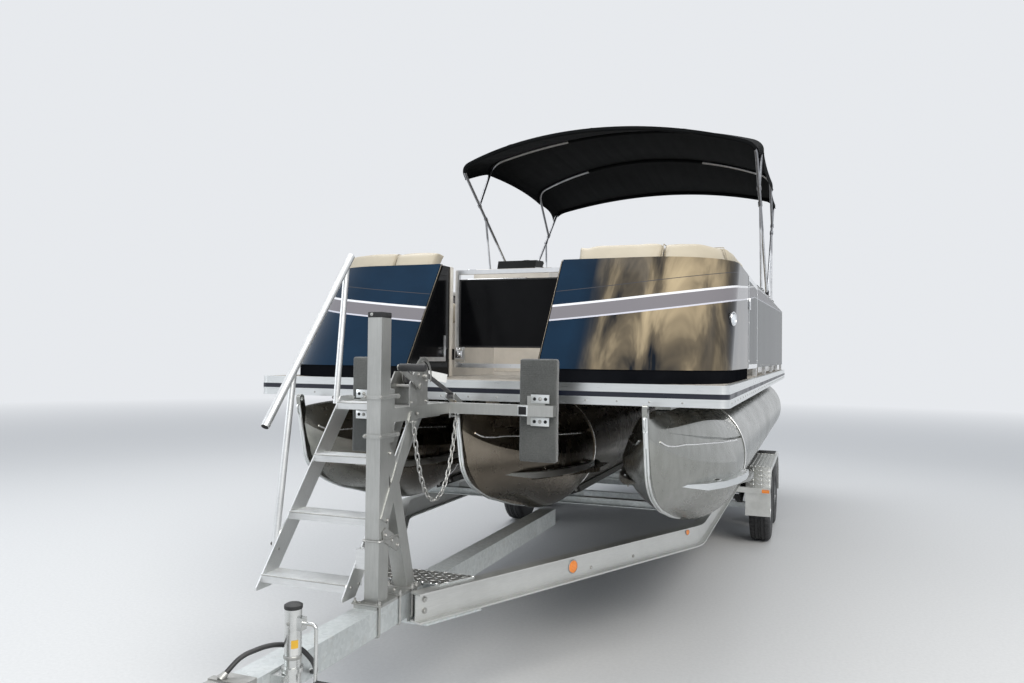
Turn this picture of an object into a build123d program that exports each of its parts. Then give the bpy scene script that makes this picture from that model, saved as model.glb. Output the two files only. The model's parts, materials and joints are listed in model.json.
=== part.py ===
from build123d import *
import math
import os

# A three-tube pontoon boat parked on its tandem-axle trailer. All sizes are in millimetres.
# X runs to port, Y runs aft and Z up from the ground. Stations are Y values counted
# from the front face of the deck's bow rail, and the model is centred on Y at the end.

# Deck
DECK_LENGTH = 6850
BEAM = 2591
FLOOR_TOP = 1548
FLOOR_THICKNESS = 32
RAIL_TOP = FLOOR_TOP
RAIL_HEIGHT = 104
RAIL_WIDTH = 30
RAIL_CORNER = 45
INSERT_DROP = 40
INSERT_HEIGHT = 24
INSERT_DEPTH = 7
DECK_BEAM_HEIGHT = 75
DECK_BEAM_WIDTH = 45
DECK_BEAM_WALL = 5
DECK_BEAM_PITCH = 406
DECK_BEAM_FIRST = 330
DECK_BEAM_INSET = 12
RISER_HALF = 40
RISER_SETBACK = 60
LIP = 8
GROOVE = 3

# Pontoons
TUBE_RADIUS = 324
TUBE_PITCH = 937
TUBE_CENTRE_Z = 1088
NOSE_SEAM = 1300
TUBE_END = DECK_LENGTH - 250
CENTRE_TUBE_END = DECK_LENGTH - 650
SEAM_RING = 4.5
SEAM_RING_WIDTH = 14
PLEAT = 11
PLEAT_DEPTH = 14
KEEL_BAR = 24
EYE_RADIUS = 13
BOW_EYE = (-118, 1432)
STRAKE_REACH = 62
STRAKE_THICKNESS = 5
STRAKE_START = 420
STRAKE_END = NOSE_SEAM + 250
STRAKE_DROP = 131
STRAKE_RISE = 60
STRAKE_LIP = 22

# Fence and bow panels
FENCE_HALF = BEAM / 2 - 32.5
SKIN = 6
FENCE_TUBE = 28
KICK_HEIGHT = 66
KICK_INSET = 5
PANEL_BOTTOM = RAIL_TOP + KICK_HEIGHT
PANEL_TOP = 2204
BOW_PANEL_THICKNESS = 30
BOW_PANEL_START = 10
BOW_PANEL_INNER = 372
BOW_CORNER_RADIUS = 460
BOW_RAKE = 410
BOW_PANEL_END = 1480
FENCE_TOP_STERN = 2274
FENCE_END = DECK_LENGTH - 35
STERN_FENCE = DECK_LENGTH - 600

# The bow light: how far its middle is round the corner from the side, its height and its lens
BOW_LIGHT_TURN = 12.3
BOW_LIGHT_Z = 1880
BOW_LIGHT_HALF = (36, 29)
BOW_LIGHT_DEPTH = 8

# Gates
GATE_TUBE = 25
BOW_GATE_STATION = 560
BOW_GATE_HALF = 340
BOW_GATE_BOTTOM = 1604
BOW_GATE_TOP = 2179
SIDE_GATE_START = 1520
SIDE_GATE_END = 2330
STERN_GATE_INNER = -620
GATE_GAP = 12
GATE_PIN_RADIUS = 6
GATE_PIN_DEPTH = 40
GATE_FLOOR_GAP = 60
LATCH = (-330, -275, 1636, 1725)
LATCH_DEPTH = 22

# Seats
SEAT_BASE_HEIGHT = 330
CUSHION_THICKNESS = 118
SOFT_GAP = 0.3
COUCH_INNER = 432
COUCH_END = 1440
COUCH_CORNER = 400
BACK_THICKNESS = 118
BACK_TOP = 2282
LOUNGE_START = 3300
LOUNGE_DEPTH = 590
LOUNGE_STERN_INNER = -540

# Helm
CONSOLE_LEFT = 133 - FENCE_HALF
CONSOLE_RIGHT = CONSOLE_LEFT + 690
CONSOLE_FRONT = 2600
CONSOLE_TOP = FLOOR_TOP + 886
HOOD_HEIGHT = 82
HOOD_HALF = 175
HELM_X = CONSOLE_LEFT + 370
HELM_WHEEL_RADIUS = 178
HELM_WHEEL_GRIP = 14
HELM_WHEEL_TILT = 28
HELM_BOSS = 10
CHAIR_STATION = 3790
CHAIR_SEAT_TOP = FLOOR_TOP + 541
CHAIR_WIDTH = 540
CHAIR_SEAT_THICKNESS = 130
CHAIR_SOCKET = 24

# Bimini top
BOW_TUBE = 12.5
BRACE_TUBE = 10
SLEEVE_HALF = 22
BIMINI_HALF = FENCE_HALF - 35
BRACE_FEET = (3300, 4940)
BIMINI_PIVOT = (4150, 2264)
BIMINI_FRONT = (2565, 3319)
BIMINI_REAR = (5315, 3394)
BIMINI_SECOND = (3280, 3514)
BIMINI_THIRD = (4610, 3504)
BOW_CROWN_RADIUS = 2800
BOW_BEND = 150
CANVAS_THICKNESS = 5
CANVAS_SKIRT = 45

# Outboard
TRANSOM_STATION = DECK_LENGTH + 350
TRANSOM_TOP = 1439
POD_HALF = 280
POD_BOTTOM = 904
CLAMP_BOTTOM = TRANSOM_TOP - 305
CLAMP_HALF = 124
CLAMP_PLATE = 16
TILT_AXIS = (TRANSOM_STATION + 38, TRANSOM_TOP + 30)
TILT_TUBE = 15
STEER_STATION = TRANSOM_STATION + 105
STEER_SHAFT = 22
SWIVEL_HALF = 100
SWIVEL_BOTTOM = 1224
YOKE_BOTTOM = 1188
COWL_BOTTOM = 1584
COWL_TOP = 2124
COWL_HALF = 200
COWL_CENTRE = TRANSOM_STATION + 305
COWL_REACH = 270
LEG_HALF = 62
LEG_NECK = 864
VENT_PLATE = 792
GEARCASE = 56
SKEG_BOTTOM = 434
PROP_RADIUS = 185
PROP_HUB = 50
PROP_SHAFT = 11
PROP_STATION = TRANSOM_STATION + 612
PROP_Z = 609

# Trailer frame
BEAM_BOTTOM = 544
BEAM_HEIGHT = 127
BEAM_FLANGE = 64
BEAM_FLANGE_THICKNESS = 8
BEAM_WEB = 6
WHEEL_X = BEAM / 2 - 103.5
FRAME_HALF = WHEEL_X - 192
FRAME_BEND = 1200
FRAME_BEND_RADIUS = 350
FRAME_END = TUBE_END - 120
FRAME_NOSE = -720
FRAME_NOSE_HALF = 90
CROSS_HEIGHT = 50
CROSS_FLANGE = 60
CROSS_STATIONS = (1560, 2750, 3950, 5150, FRAME_END - 230)
TONGUE_HALF = 51
TONGUE_BOTTOM = 562
TONGUE_FRONT = -1950
TONGUE_END = 1330

# Bunks
BUNK_THICKNESS = 38
BUNK_WIDTH = 140
BUNK_ANGLE = 20
BUNK_START = 1450
BUNK_END = TUBE_END - 250

# Wheels and axles
TYRE_RADIUS = 313
TYRE_WIDTH = 185
WHEEL_STATIONS = (4050, 4863)
RIM_RADIUS = 165
SPINDLE_RADIUS = 20
AXLE_TUBE = 50
SPRING_WIDTH = 45
SPRING_REACH = 345
SPRING_RISE = 78
SPRING_STACK = 22

# Fenders
FENDER_INNER = WHEEL_X - 110
FENDER_OUTER = WHEEL_X + 102
FENDER_SHEET = 4
FENDER_TOP = 2 * TYRE_RADIUS + 78
FENDER_START = 3620
FENDER_BOTTOM = 292
FENDER_SHOULDER = 520
FENDER_SLOPE = 170
FENDER_BRACKET = 46
FENDER_RIBS = 5
FENDER_RIB_HEIGHT = 5
STEP_PAD_LENGTH = 290

# Winch stand
POST_X = 32
POST_Y = 38
POST_STATION = -890
POST_FOOT = 12
POST_TOP = 1844
ARM_TUBE = 50
ARM_Z = 1397
ARM_SLEEVE = 4
ARM_SLEEVE_END = -385
MAST_BOTTOM = 1312
CLAMP_HEIGHTS = (1343, 1501)
CLAMP_BAR = 8
CROSS_ARM_STATION = -275
WINCH_SEAT = ARM_Z + ARM_TUBE + ARM_SLEEVE
WINCH_SPAN = (-716, -553)
WINCH_HALF = 50
WINCH_PLATE = 6
WINCH_HEIGHT = 150
DRUM = (-590, WINCH_SEAT + 129)
DRUM_RADIUS = 30
GEAR_RADIUS = 64
PINION = (-655, WINCH_SEAT + 87)
CRANK_GRIP = (-845, WINCH_SEAT + 170)
STRAP_COIL = 52
STRAP_HALF = 22
STRAP_END = (-205, 1476)
BOARD_INNER = 362
BOARD_OUTER = 546
BOARD_BOTTOM = 1180
BOARD_TOP = 1662
BOARD_THICKNESS = 48
BOARD_BRACKET = (405, 492, 42)

# Safety chain between the winch arm and the cross arm
CHAIN_X = 52
CHAIN_ENDS = (-686, -250)
CHAIN_LINKS = 31
CHAIN_ROD = 7
LINK_HALF_LENGTH = 22
LINK_HALF_WIDTH = 12

# Ladder
LADDER_OUTER = -497
LADDER_INNER = -78
STRINGER = 6
TREADS = 4
FIRST_TREAD = (-984, 752)
TREAD_RUN = 181
TREAD_RISE = 230
TREAD_DEPTH = 120
TREAD_HEIGHT = 32
HANDRAIL_RADIUS = 19
HANDRAIL = ((-953, 1362), (-308, 2164))
UPRIGHTS = (((-873, 824), (-759, 1604)), ((-422, 1434), (-345, 2114)))
UPRIGHT_RADIUS = 15

# Jack and coupler
JACK_X = 104
JACK_STATION = -1580
JACK_RADIUS = 27
JACK_TOP = 869
JACK_BOTTOM = 400
JACK_FOOT = 78
JACK_OVERLAP = 340
CRANK_Z = 816
CRANK_DROP = 192
CRANK_REACH = 45
CRANK_BAR = 6
COUPLER_WALL = 12
COUPLER_FRONT = TONGUE_FRONT - 40
COUPLER_END = TONGUE_FRONT + 250
BALL_STATION = -2078
BALL_RADIUS = 25.4
BALL_Z = 584

# Brake hose from the coupler over the tongue to its port side, as points of its route
HOSE_RADIUS = 8
HOSE_ROUTE = ((-20, -1745, 692), (-8, -1690, 728), (36, -1600, 742), (86, -1522, 716),
              (112, -1478, 655), (98, -1440, 604), (57, -1408, 588))


def slab(x0, x1, y0, y1, z0, z1):
    """A plain block given by its limits."""
    return Pos((x0 + x1) / 2, (y0 + y1) / 2, (z0 + z1) / 2) * Box(x1 - x0, y1 - y0, z1 - z0)


def side_plate(points, x0, x1):
    """A plate cut to an outline of (station, height) points, from x0 to x1."""
    outline = make_face(Polyline(*[(x0, y, z) for y, z in points], close=True))
    return extrude(outline, amount=x1 - x0, dir=(1, 0, 0))


def plan_plate(points, z0, z1):
    """A plate cut to an outline of (x, station) points, from z0 to z1."""
    outline = make_face(Polyline(*[(x, y, z0) for x, y in points], close=True))
    return extrude(outline, amount=z1 - z0, dir=(0, 0, 1))


def rod(start, end, radius):
    """A round bar between two points."""
    axis = Vector(*end) - Vector(*start)
    return extrude(Plane(origin=start, z_dir=axis) * Circle(radius), amount=axis.length)


def bent_rod(points, radius, bend):
    """A round bar along straight runs joined by arcs."""
    path = FilletPolyline(*points, radius=bend)
    return sweep(Plane(origin=path @ 0, z_dir=path % 0) * Circle(radius), path=path)


def both_sides(shape):
    """The shape and its mirror image across the centreline, as a list of solids."""
    return shape.solids() + mirror(shape, about=Plane.YZ).solids()


def ribbon(points, width):
    """Outline points of a strip of constant width along a plan line, mitred at its bends."""
    half = width / 2
    headings = []
    for (xa, ya), (xb, yb) in zip(points, points[1:]):
        length = math.hypot(xb - xa, yb - ya)
        headings.append(((xb - xa) / length, (yb - ya) / length))
    left, right = [], []
    for number, (x, y) in enumerate(points):
        before = headings[max(number - 1, 0)]
        after = headings[min(number, len(headings) - 1)]
        nx, ny = -(before[1] + after[1]), before[0] + after[0]
        scale = half / ((nx * nx + ny * ny) / 2)
        left.append((x + nx * scale, y + ny * scale))
        right.append((x - nx * scale, y - ny * scale))
    return left + right[::-1]


def i_beam(points, z0, height, flange, flange_thickness, web):
    """An I-beam laid along a plan line."""
    z1 = z0 + height
    bottom = plan_plate(ribbon(points, flange), z0, z0 + flange_thickness)
    middle = plan_plate(ribbon(points, web), z0 + flange_thickness, z1 - flange_thickness)
    top = plan_plate(ribbon(points, flange), z1 - flange_thickness, z1)
    return bottom + middle + top


nodes = {}


def keep(name, *shapes):
    """Store the solids of one named piece."""
    solids = []
    for shape in shapes:
        solids.extend(shape if isinstance(shape, list) else shape.solids())
    nodes[name] = solids


# Pontoon tubes. Each has a folded wedge nose whose section opens from a thin stem to the round tube.
TOP_CHORD_Z = TUBE_CENTRE_Z + math.sqrt(TUBE_RADIUS**2 - RISER_HALF**2)
SHOULDER = TUBE_RADIUS * math.sin(math.radians(45))
QUARTER_BULGE = (1 - math.cos(math.radians(45))) / (2 * math.sin(math.radians(45)))

# station, half width, keel z, chine z, shoulder half width, shoulder z, top half width, top z,
# bulge of the lower side, bulge of the upper side
NOSE_SECTIONS = (
    (-92, 10, 1254, 1304, 9, 1349, 7, 1386, 0.03, 0.01),
    (90, 105, 994, 1214, 70, 1336, 30, 1398, 0.07, 0.01),
    (440, 232, 868, 1144, 150, 1344, 40, TOP_CHORD_Z - 3, 0.13, 0.02),
    (820, 306, 776, 1104, 205, 1332, 40, TOP_CHORD_Z - 3, 0.185, 0.05),
    (NOSE_SEAM, TUBE_RADIUS, TUBE_CENTRE_Z - TUBE_RADIUS, TUBE_CENTRE_Z, SHOULDER,
     TUBE_CENTRE_Z + SHOULDER, RISER_HALF, TOP_CHORD_Z, QUARTER_BULGE, None),
)


def bulge_point(start, end, bulge):
    """The middle of an arc in a cross-section that bulges outward by a share of its chord."""
    (xa, za), (xb, zb) = start, end
    return (xa + xb) / 2 + (zb - za) * bulge, (za + zb) / 2 - (xb - xa) * bulge


def tube_point(start, end):
    """The middle of the tube's own circle between two points of its section."""
    angle_a = math.atan2(start[1] - TUBE_CENTRE_Z, start[0])
    angle_b = math.atan2(end[1] - TUBE_CENTRE_Z, end[0])
    middle = (angle_a + angle_b) / 2
    return TUBE_RADIUS * math.cos(middle), TUBE_CENTRE_Z + TUBE_RADIUS * math.sin(middle)


def nose_section(row):
    """One cross-section of a pontoon, across the boat at its station."""
    station, half, keel_z, chine_z, shoulder, shoulder_z, top, top_z, lower, upper = row
    corners = [(0, keel_z), (half, chine_z), (shoulder, shoulder_z), (top, top_z)]
    arcs = []
    for number, (start, end) in enumerate(zip(corners, corners[1:])):
        if upper is None:
            middle = tube_point(start, end)
        else:
            middle = bulge_point(start, end, lower if number == 0 else upper)
        arcs.append((start, middle, end))
    edges = [ThreePointArc(*arc) for arc in arcs]
    edges.append(Line(corners[-1], (-top, top_z)))
    for start, middle, end in arcs[::-1]:
        edges.append(ThreePointArc(*[(-x, z) for x, z in (end, middle, start)]))
    across = Plane(origin=(0, station, 0), x_dir=(-1, 0, 0), z_dir=(0, 1, 0))
    return across * make_face(edges)


def keel_bar():
    """The thick bar along the nose's stem, with the lug and eye at its head."""
    edges = [
        ThreePointArc((0, 900, 759), (0, 470, 856), (0, 90, 986)),
        ThreePointArc((0, 90, 986), (0, -5, 1044), (0, -66, 1120)),
        Line((0, -66, 1120), (0, -130, 1396)),
        Line((0, -130, 1396), (0, -138, 1436)),
        ThreePointArc((0, -138, 1436), (0, -118, 1456), (0, -98, 1436)),
        Line((0, -98, 1436), (0, -88, 1396)),
        Line((0, -88, 1396), (0, -30, 1134)),
        ThreePointArc((0, -30, 1134), (0, 25, 1066), (0, 112, 1012)),
        ThreePointArc((0, 112, 1012), (0, 480, 884), (0, 900, 788)),
        Line((0, 900, 788), (0, 900, 759)),
    ]
    bar = extrude(make_face(edges), amount=KEEL_BAR / 2, both=True)
    eye = Pos(0, *BOW_EYE) * Rot(0, 90, 0) * Cylinder(EYE_RADIUS, KEEL_BAR * 2)
    return bar - eye


def strake(side):
    """A lifting fin along a nose, on the side given by its sign, that climbs towards the bow."""
    low = TUBE_CENTRE_Z - STRAKE_DROP
    nose_low = low + STRAKE_RISE
    root_x = math.sqrt(TUBE_RADIUS**2 - STRAKE_DROP**2) - 14
    tip_x = root_x + 14 + STRAKE_REACH
    nose_root, nose_tip = root_x * 0.32, root_x * 0.71
    plan = [(nose_root, STRAKE_START), (nose_tip, STRAKE_START), (tip_x, NOSE_SEAM),
            (tip_x, STRAKE_END), (root_x, STRAKE_END), (root_x, NOSE_SEAM)]
    edge = [(nose_tip - STRAKE_THICKNESS, STRAKE_START), (nose_tip, STRAKE_START),
            (tip_x, NOSE_SEAM), (tip_x, STRAKE_END), (tip_x - STRAKE_THICKNESS, STRAKE_END),
            (tip_x - STRAKE_THICKNESS, NOSE_SEAM)]
    end = STRAKE_END + 20
    top = [(end, low + STRAKE_THICKNESS), (NOSE_SEAM, low + STRAKE_THICKNESS),
           (STRAKE_START - 20, nose_low + STRAKE_THICKNESS)]
    flat = side_plate([(STRAKE_START - 20, nose_low), (NOSE_SEAM, low), (end, low)] + top,
                      -TUBE_PITCH, TUBE_PITCH)
    lip = side_plate([(STRAKE_START - 20, nose_low - STRAKE_LIP), (NOSE_SEAM, low - STRAKE_LIP),
                      (end, low - STRAKE_LIP)] + top, -TUBE_PITCH, TUBE_PITCH)
    plan = [(side * x, y) for x, y in plan]
    edge = [(side * x, y) for x, y in edge]
    tall = (low - 2 * STRAKE_LIP, nose_low + 2 * STRAKE_LIP)
    return (plan_plate(plan, *tall) & flat) + (plan_plate(edge, *tall) & lip)


def pleat(side):
    """The cutter of the folded crease along the upper side of a nose."""
    depth, reach = PLEAT_DEPTH, TUBE_RADIUS + 60
    rows = ((60, 76, 1318), (440, 184, 1262), (820, 255, 1224), (NOSE_SEAM - 12, 306, 1196))
    plan = [(side * (x - depth), y) for y, x, z in rows]
    plan += [(side * reach, rows[-1][0]), (side * reach, rows[0][0])]
    profile = [(y, z) for y, x, z in rows] + [(y, z + PLEAT) for y, x, z in rows[:0:-1]]
    cutter = plan_plate(plan, TUBE_CENTRE_Z, TOP_CHORD_Z)
    return cutter & side_plate(profile, -reach, reach)


def seam_ring():
    """The raised weld ring where the nose meets the tube, flat under the riser."""
    ring = Rot(90, 0, 0) * Cylinder(TUBE_RADIUS + SEAM_RING, SEAM_RING_WIDTH)
    ring = Pos(0, NOSE_SEAM, TUBE_CENTRE_Z) * ring
    lid = slab(-TUBE_RADIUS, TUBE_RADIUS, NOSE_SEAM - SEAM_RING_WIDTH, NOSE_SEAM + SEAM_RING_WIDTH,
               TOP_CHORD_Z, TOP_CHORD_Z + TUBE_RADIUS)
    return ring - lid


def pontoon(x, end):
    """A whole tube with its nose at the given place across the boat."""
    sections = [nose_section(row) for row in NOSE_SECTIONS]
    nose = loft(sections)
    tube = extrude(sections[-1], amount=end - NOSE_SEAM)
    body = nose + tube
    for side in (-1, 1):
        body -= pleat(side)
    body = body + seam_ring() + keel_bar()
    for side in (-1, 1):
        body += strake(side)
    return Pos(x, 0, 0) * body


keep("pontoon_port", pontoon(TUBE_PITCH, TUBE_END))
keep("pontoon_centre", pontoon(0, CENTRE_TUBE_END))
keep("pontoon_starboard", pontoon(-TUBE_PITCH, TUBE_END))

# Deck structure: a riser on each tube, cross channels over the risers, the floor and its rail.
FLOOR_BOTTOM = FLOOR_TOP - FLOOR_THICKNESS
CHANNEL_BOTTOM = FLOOR_BOTTOM - DECK_BEAM_HEIGHT
FLOOR_HALF = BEAM / 2 - RAIL_WIDTH


def deck_channel(station):
    """A C-channel across the boat, open to the stern."""
    half = FLOOR_HALF - DECK_BEAM_INSET
    outer = slab(-half, half, station, station + DECK_BEAM_WIDTH, CHANNEL_BOTTOM, FLOOR_BOTTOM)
    hollow = slab(-half, half, station + DECK_BEAM_WALL, station + DECK_BEAM_WIDTH,
                  CHANNEL_BOTTOM + DECK_BEAM_WALL, FLOOR_BOTTOM - DECK_BEAM_WALL)
    return outer - hollow


def deck_frame():
    """All channels joined by the three long risers."""
    frame = None
    station = DECK_BEAM_FIRST
    while station < TUBE_END - RISER_SETBACK - DECK_BEAM_WIDTH:
        channel = deck_channel(station)
        frame = channel if frame is None else frame + channel
        station += DECK_BEAM_PITCH
    for x, end in ((-TUBE_PITCH, TUBE_END), (0, CENTRE_TUBE_END), (TUBE_PITCH, TUBE_END)):
        frame += slab(x - RISER_HALF, x + RISER_HALF, DECK_BEAM_FIRST, end - RISER_SETBACK,
                      TOP_CHORD_Z, CHANNEL_BOTTOM)
    return frame


def rounded_deck(inset, z0, z1):
    """A deck-sized plate with rounded corners, smaller by the inset on every side."""
    length = DECK_LENGTH - 2 * inset
    outline = RectangleRounded(BEAM - 2 * inset, length, max(RAIL_CORNER - inset, 6))
    return extrude(Pos(0, DECK_LENGTH / 2, z0) * outline, amount=z1 - z0)


RAIL_BOTTOM = RAIL_TOP - RAIL_HEIGHT
INSERT_TOP = RAIL_TOP - INSERT_DROP
INSERT_BOTTOM = INSERT_TOP - INSERT_HEIGHT
rail_ring = rounded_deck(0, RAIL_BOTTOM, RAIL_TOP) - rounded_deck(RAIL_WIDTH, RAIL_BOTTOM, RAIL_TOP)
for groove_low, groove_high in ((INSERT_TOP + LIP, RAIL_TOP - LIP),
                                (RAIL_BOTTOM + LIP, INSERT_BOTTOM - LIP)):
    rail_ring -= (rounded_deck(-1, groove_low, groove_high)
                  - rounded_deck(GROOVE, groove_low, groove_high))
insert_ring = (rounded_deck(0, INSERT_BOTTOM, INSERT_TOP)
               - rounded_deck(INSERT_DEPTH, INSERT_BOTTOM, INSERT_TOP))
keep("deck_beams", deck_frame())
keep("deck_floor", rounded_deck(RAIL_WIDTH, FLOOR_BOTTOM, FLOOR_TOP))
keep("deck_rail", rail_ring - insert_ring)
keep("rub_insert", insert_ring)

# Bow panels: a plan curve that runs across the bow and round a large corner, swept up a raked line.
RAKE_HEIGHT = PANEL_TOP - PANEL_BOTTOM


def rake_at(z):
    """How far aft the bow panel's plan curve has moved at a height."""
    return BOW_RAKE * (z - PANEL_BOTTOM) / RAKE_HEIGHT


def bow_band(outer, thickness, inner_x, end, z0, z1, raked=True):
    """A wall that follows the bow curve, outer and thickness counted in from its face."""
    outer_radius = BOW_CORNER_RADIUS - outer
    inner_radius = outer_radius - thickness
    side = FENCE_HALF - outer
    front = BOW_PANEL_START + outer + (rake_at(z0) if raked else 0)
    centre_x, centre_y = side - outer_radius, front + outer_radius
    slant = math.sqrt(0.5)
    start = Line((inner_x, front + thickness, z0), (inner_x, front, z0))
    edges = [
        start,
        Line((inner_x, front, z0), (centre_x, front, z0)),
        ThreePointArc((centre_x, front, z0),
                      (centre_x + outer_radius * slant, centre_y - outer_radius * slant, z0),
                      (side, centre_y, z0)),
        Line((side, centre_y, z0), (side, end, z0)),
        Line((side, end, z0), (side - thickness, end, z0)),
        Line((side - thickness, end, z0), (side - thickness, centre_y, z0)),
        ThreePointArc((side - thickness, centre_y, z0),
                      (centre_x + inner_radius * slant, centre_y - inner_radius * slant, z0),
                      (centre_x, front + thickness, z0)),
        Line((centre_x, front + thickness, z0), (inner_x, front + thickness, z0)),
    ]
    lift = Vector(0, BOW_RAKE / RAKE_HEIGHT if raked else 0, 1)
    return extrude(make_face(edges), amount=(z1 - z0) * lift.length, dir=lift)


def bow_panel():
    """The glossy raked panel with its vertical side, up to the side gate."""
    swept = bow_band(0, BOW_PANEL_THICKNESS, BOW_PANEL_INNER, BOW_PANEL_END,
                     PANEL_BOTTOM, PANEL_TOP)
    trim = slab(0, BEAM, BOW_PANEL_END, BOW_PANEL_END + 2 * BOW_RAKE, FLOOR_TOP, PANEL_TOP + 1)
    side = slab(FENCE_HALF - BOW_PANEL_THICKNESS, FENCE_HALF, BOW_CORNER_RADIUS + BOW_RAKE,
                BOW_PANEL_END, PANEL_BOTTOM, PANEL_TOP)
    return swept - trim + side


def return_wall():
    """The black triangular wall from the panel's raked inner edge back to the gate post."""
    x1 = BOW_PANEL_INNER - SOFT_GAP
    front = BOW_PANEL_START + 10
    points = [(front, PANEL_BOTTOM), (front + BOW_RAKE, PANEL_TOP - 8),
              (BOW_GATE_STATION, PANEL_TOP - 8), (BOW_GATE_STATION, RAIL_TOP), (front, RAIL_TOP)]
    return side_plate(points, x1 - 14, x1)


def gate_lugs(x, y, z0, z1, reach):
    """The two lugs and pins a gate hangs on, below and above its hinge-side corners.

    The reach is (x, station), the far corner of each lug where it runs into its post."""
    lugs = None
    for low, pin_low in ((z0 - 14, z0 - 10), (z1 + 4, z1 - GATE_PIN_DEPTH)):
        x0, x1 = sorted((x - math.copysign(11, reach[0] - x), reach[0]))
        y0, y1 = sorted((y - math.copysign(11, reach[1] - y), reach[1]))
        lug = slab(x0, x1, y0, y1, low, low + 10)
        lug += rod((x, y, pin_low), (x, y, pin_low + GATE_PIN_DEPTH + 10), GATE_PIN_RADIUS)
        lugs = lug if lugs is None else lugs + lug
    return lugs


kick = bow_band(KICK_INSET, BOW_PANEL_THICKNESS - 2 * KICK_INSET, BOW_PANEL_INNER, BOW_PANEL_END,
                FLOOR_TOP, PANEL_BOTTOM, raked=False)
panel = bow_panel()
BOW_AXIS_X = BOW_GATE_HALF - GATE_TUBE / 2
BOW_AXIS_Y = BOW_GATE_STATION + GATE_TUBE / 2
hinge_wall = return_wall() + gate_lugs(BOW_AXIS_X, BOW_AXIS_Y, BOW_GATE_BOTTOM, BOW_GATE_TOP,
                                       (BOW_PANEL_INNER - SOFT_GAP - 10, BOW_GATE_STATION - 10))
keep("bow_panels", both_sides(panel))
keep("kick_panels", both_sides(kick))
keeper = slab(SOFT_GAP - BOW_PANEL_INNER + 10, -BOW_GATE_HALF, BOW_GATE_STATION - 16,
              BOW_GATE_STATION - 4, LATCH[2] + 12, LATCH[3] - 12)
keep("bow_returns", hinge_wall, mirror(return_wall(), about=Plane.YZ) + keeper)


# Side and stern fences: a thin skin on the outside of a square-tube frame.
def fence_top(station):
    """Height of the fence top, which rises a little towards the stern."""
    share = (station - BOW_PANEL_END) / (FENCE_END - BOW_PANEL_END)
    return PANEL_TOP + (FENCE_TOP_STERN - PANEL_TOP) * share


def side_fence(start, end):
    """The skin and the frame of one side fence on port, between two stations."""
    low, high_a, high_b = PANEL_BOTTOM, fence_top(start), fence_top(end)
    skin = side_plate([(start, low), (start, high_a), (end, high_b), (end, low)],
                      FENCE_HALF - SKIN, FENCE_HALF)
    x0, x1 = FENCE_HALF - SKIN - FENCE_TUBE, FENCE_HALF - SKIN
    top = side_plate([(start, high_a - FENCE_TUBE), (start, high_a), (end, high_b),
                      (end, high_b - FENCE_TUBE)], x0, x1)
    frame = top + slab(x0, x1, start, end, low, low + FENCE_TUBE)
    posts = max(2, round((end - start) / 1100) + 1)
    for number in range(posts):
        y = start + (end - start - FENCE_TUBE) * number / (posts - 1)
        frame += slab(x0, x1, y, y + FENCE_TUBE, FLOOR_TOP, fence_top(y) - FENCE_TUBE / 2)
    return skin, frame


port_skin, port_frame = side_fence(SIDE_GATE_END + GATE_GAP, FENCE_END)
star_skin, star_frame = side_fence(BOW_PANEL_END + SOFT_GAP, FENCE_END)
star_skin, star_frame = mirror(star_skin, about=Plane.YZ), mirror(star_frame, about=Plane.YZ)
FENCE_INNER = FENCE_HALF - SKIN - FENCE_TUBE
STERN_TOP = fence_top(STERN_FENCE)


def stern_fence():
    """The skin and frame across the stern from the port side to the gate post."""
    x0, x1 = STERN_GATE_INNER, FENCE_INNER
    y0 = STERN_FENCE
    skin = slab(x0, x1, y0 + FENCE_TUBE, y0 + FENCE_TUBE + SKIN, PANEL_BOTTOM, STERN_TOP)
    frame = slab(x0, x1, y0, y0 + FENCE_TUBE, STERN_TOP - FENCE_TUBE, STERN_TOP)
    frame += slab(x0, x1, y0, y0 + FENCE_TUBE, PANEL_BOTTOM, PANEL_BOTTOM + FENCE_TUBE)
    for x in (x0, (x0 + x1) / 2, x1 - FENCE_TUBE):
        frame += slab(x, x + FENCE_TUBE, y0, y0 + FENCE_TUBE, FLOOR_TOP, STERN_TOP)
    return skin, frame


stern_skin, stern_frame = stern_fence()


# Gates: a square-tube frame with a panel in it, hung on two pins.
def gate_frame(width, height, panel_low, panel_high, tube):
    """A gate frame in the XZ plane, hinge axis at x = 0, reaching towards -X, bottom at z = 0."""
    middle = tube / 2 - width / 2
    frame = Pos(middle, 0, height / 2) * Box(width, tube, height)
    frame -= Pos(middle, 0, height / 2) * Box(width - 2 * tube, tube, height - 2 * tube)
    for z in (0, height - GATE_PIN_DEPTH - 0.3):
        frame -= rod((0, 0, z - 0.1), (0, 0, z + GATE_PIN_DEPTH + 0.4), GATE_PIN_RADIUS + 0.3)
    fill = (Pos(middle, 0, (panel_low + panel_high) / 2)
            * Box(width - 2 * tube, tube * 0.6, panel_high - panel_low))
    return frame, fill


bow_frame, bow_fill = gate_frame(2 * BOW_GATE_HALF, BOW_GATE_TOP - BOW_GATE_BOTTOM,
                                 118, 520, GATE_TUBE)
gate_place = Pos(BOW_AXIS_X, BOW_AXIS_Y, BOW_GATE_BOTTOM)
latch_y = BOW_GATE_STATION - LATCH_DEPTH
latch = side_plate([(BOW_GATE_STATION, LATCH[2]), (latch_y, LATCH[2] + 20), (latch_y, LATCH[3] - 20),
                    (BOW_GATE_STATION, LATCH[3])], LATCH[0], LATCH[1])
keep("bow_gate_frame", gate_place * bow_frame + latch)
keep("bow_gate_panel", gate_place * bow_fill)

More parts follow.
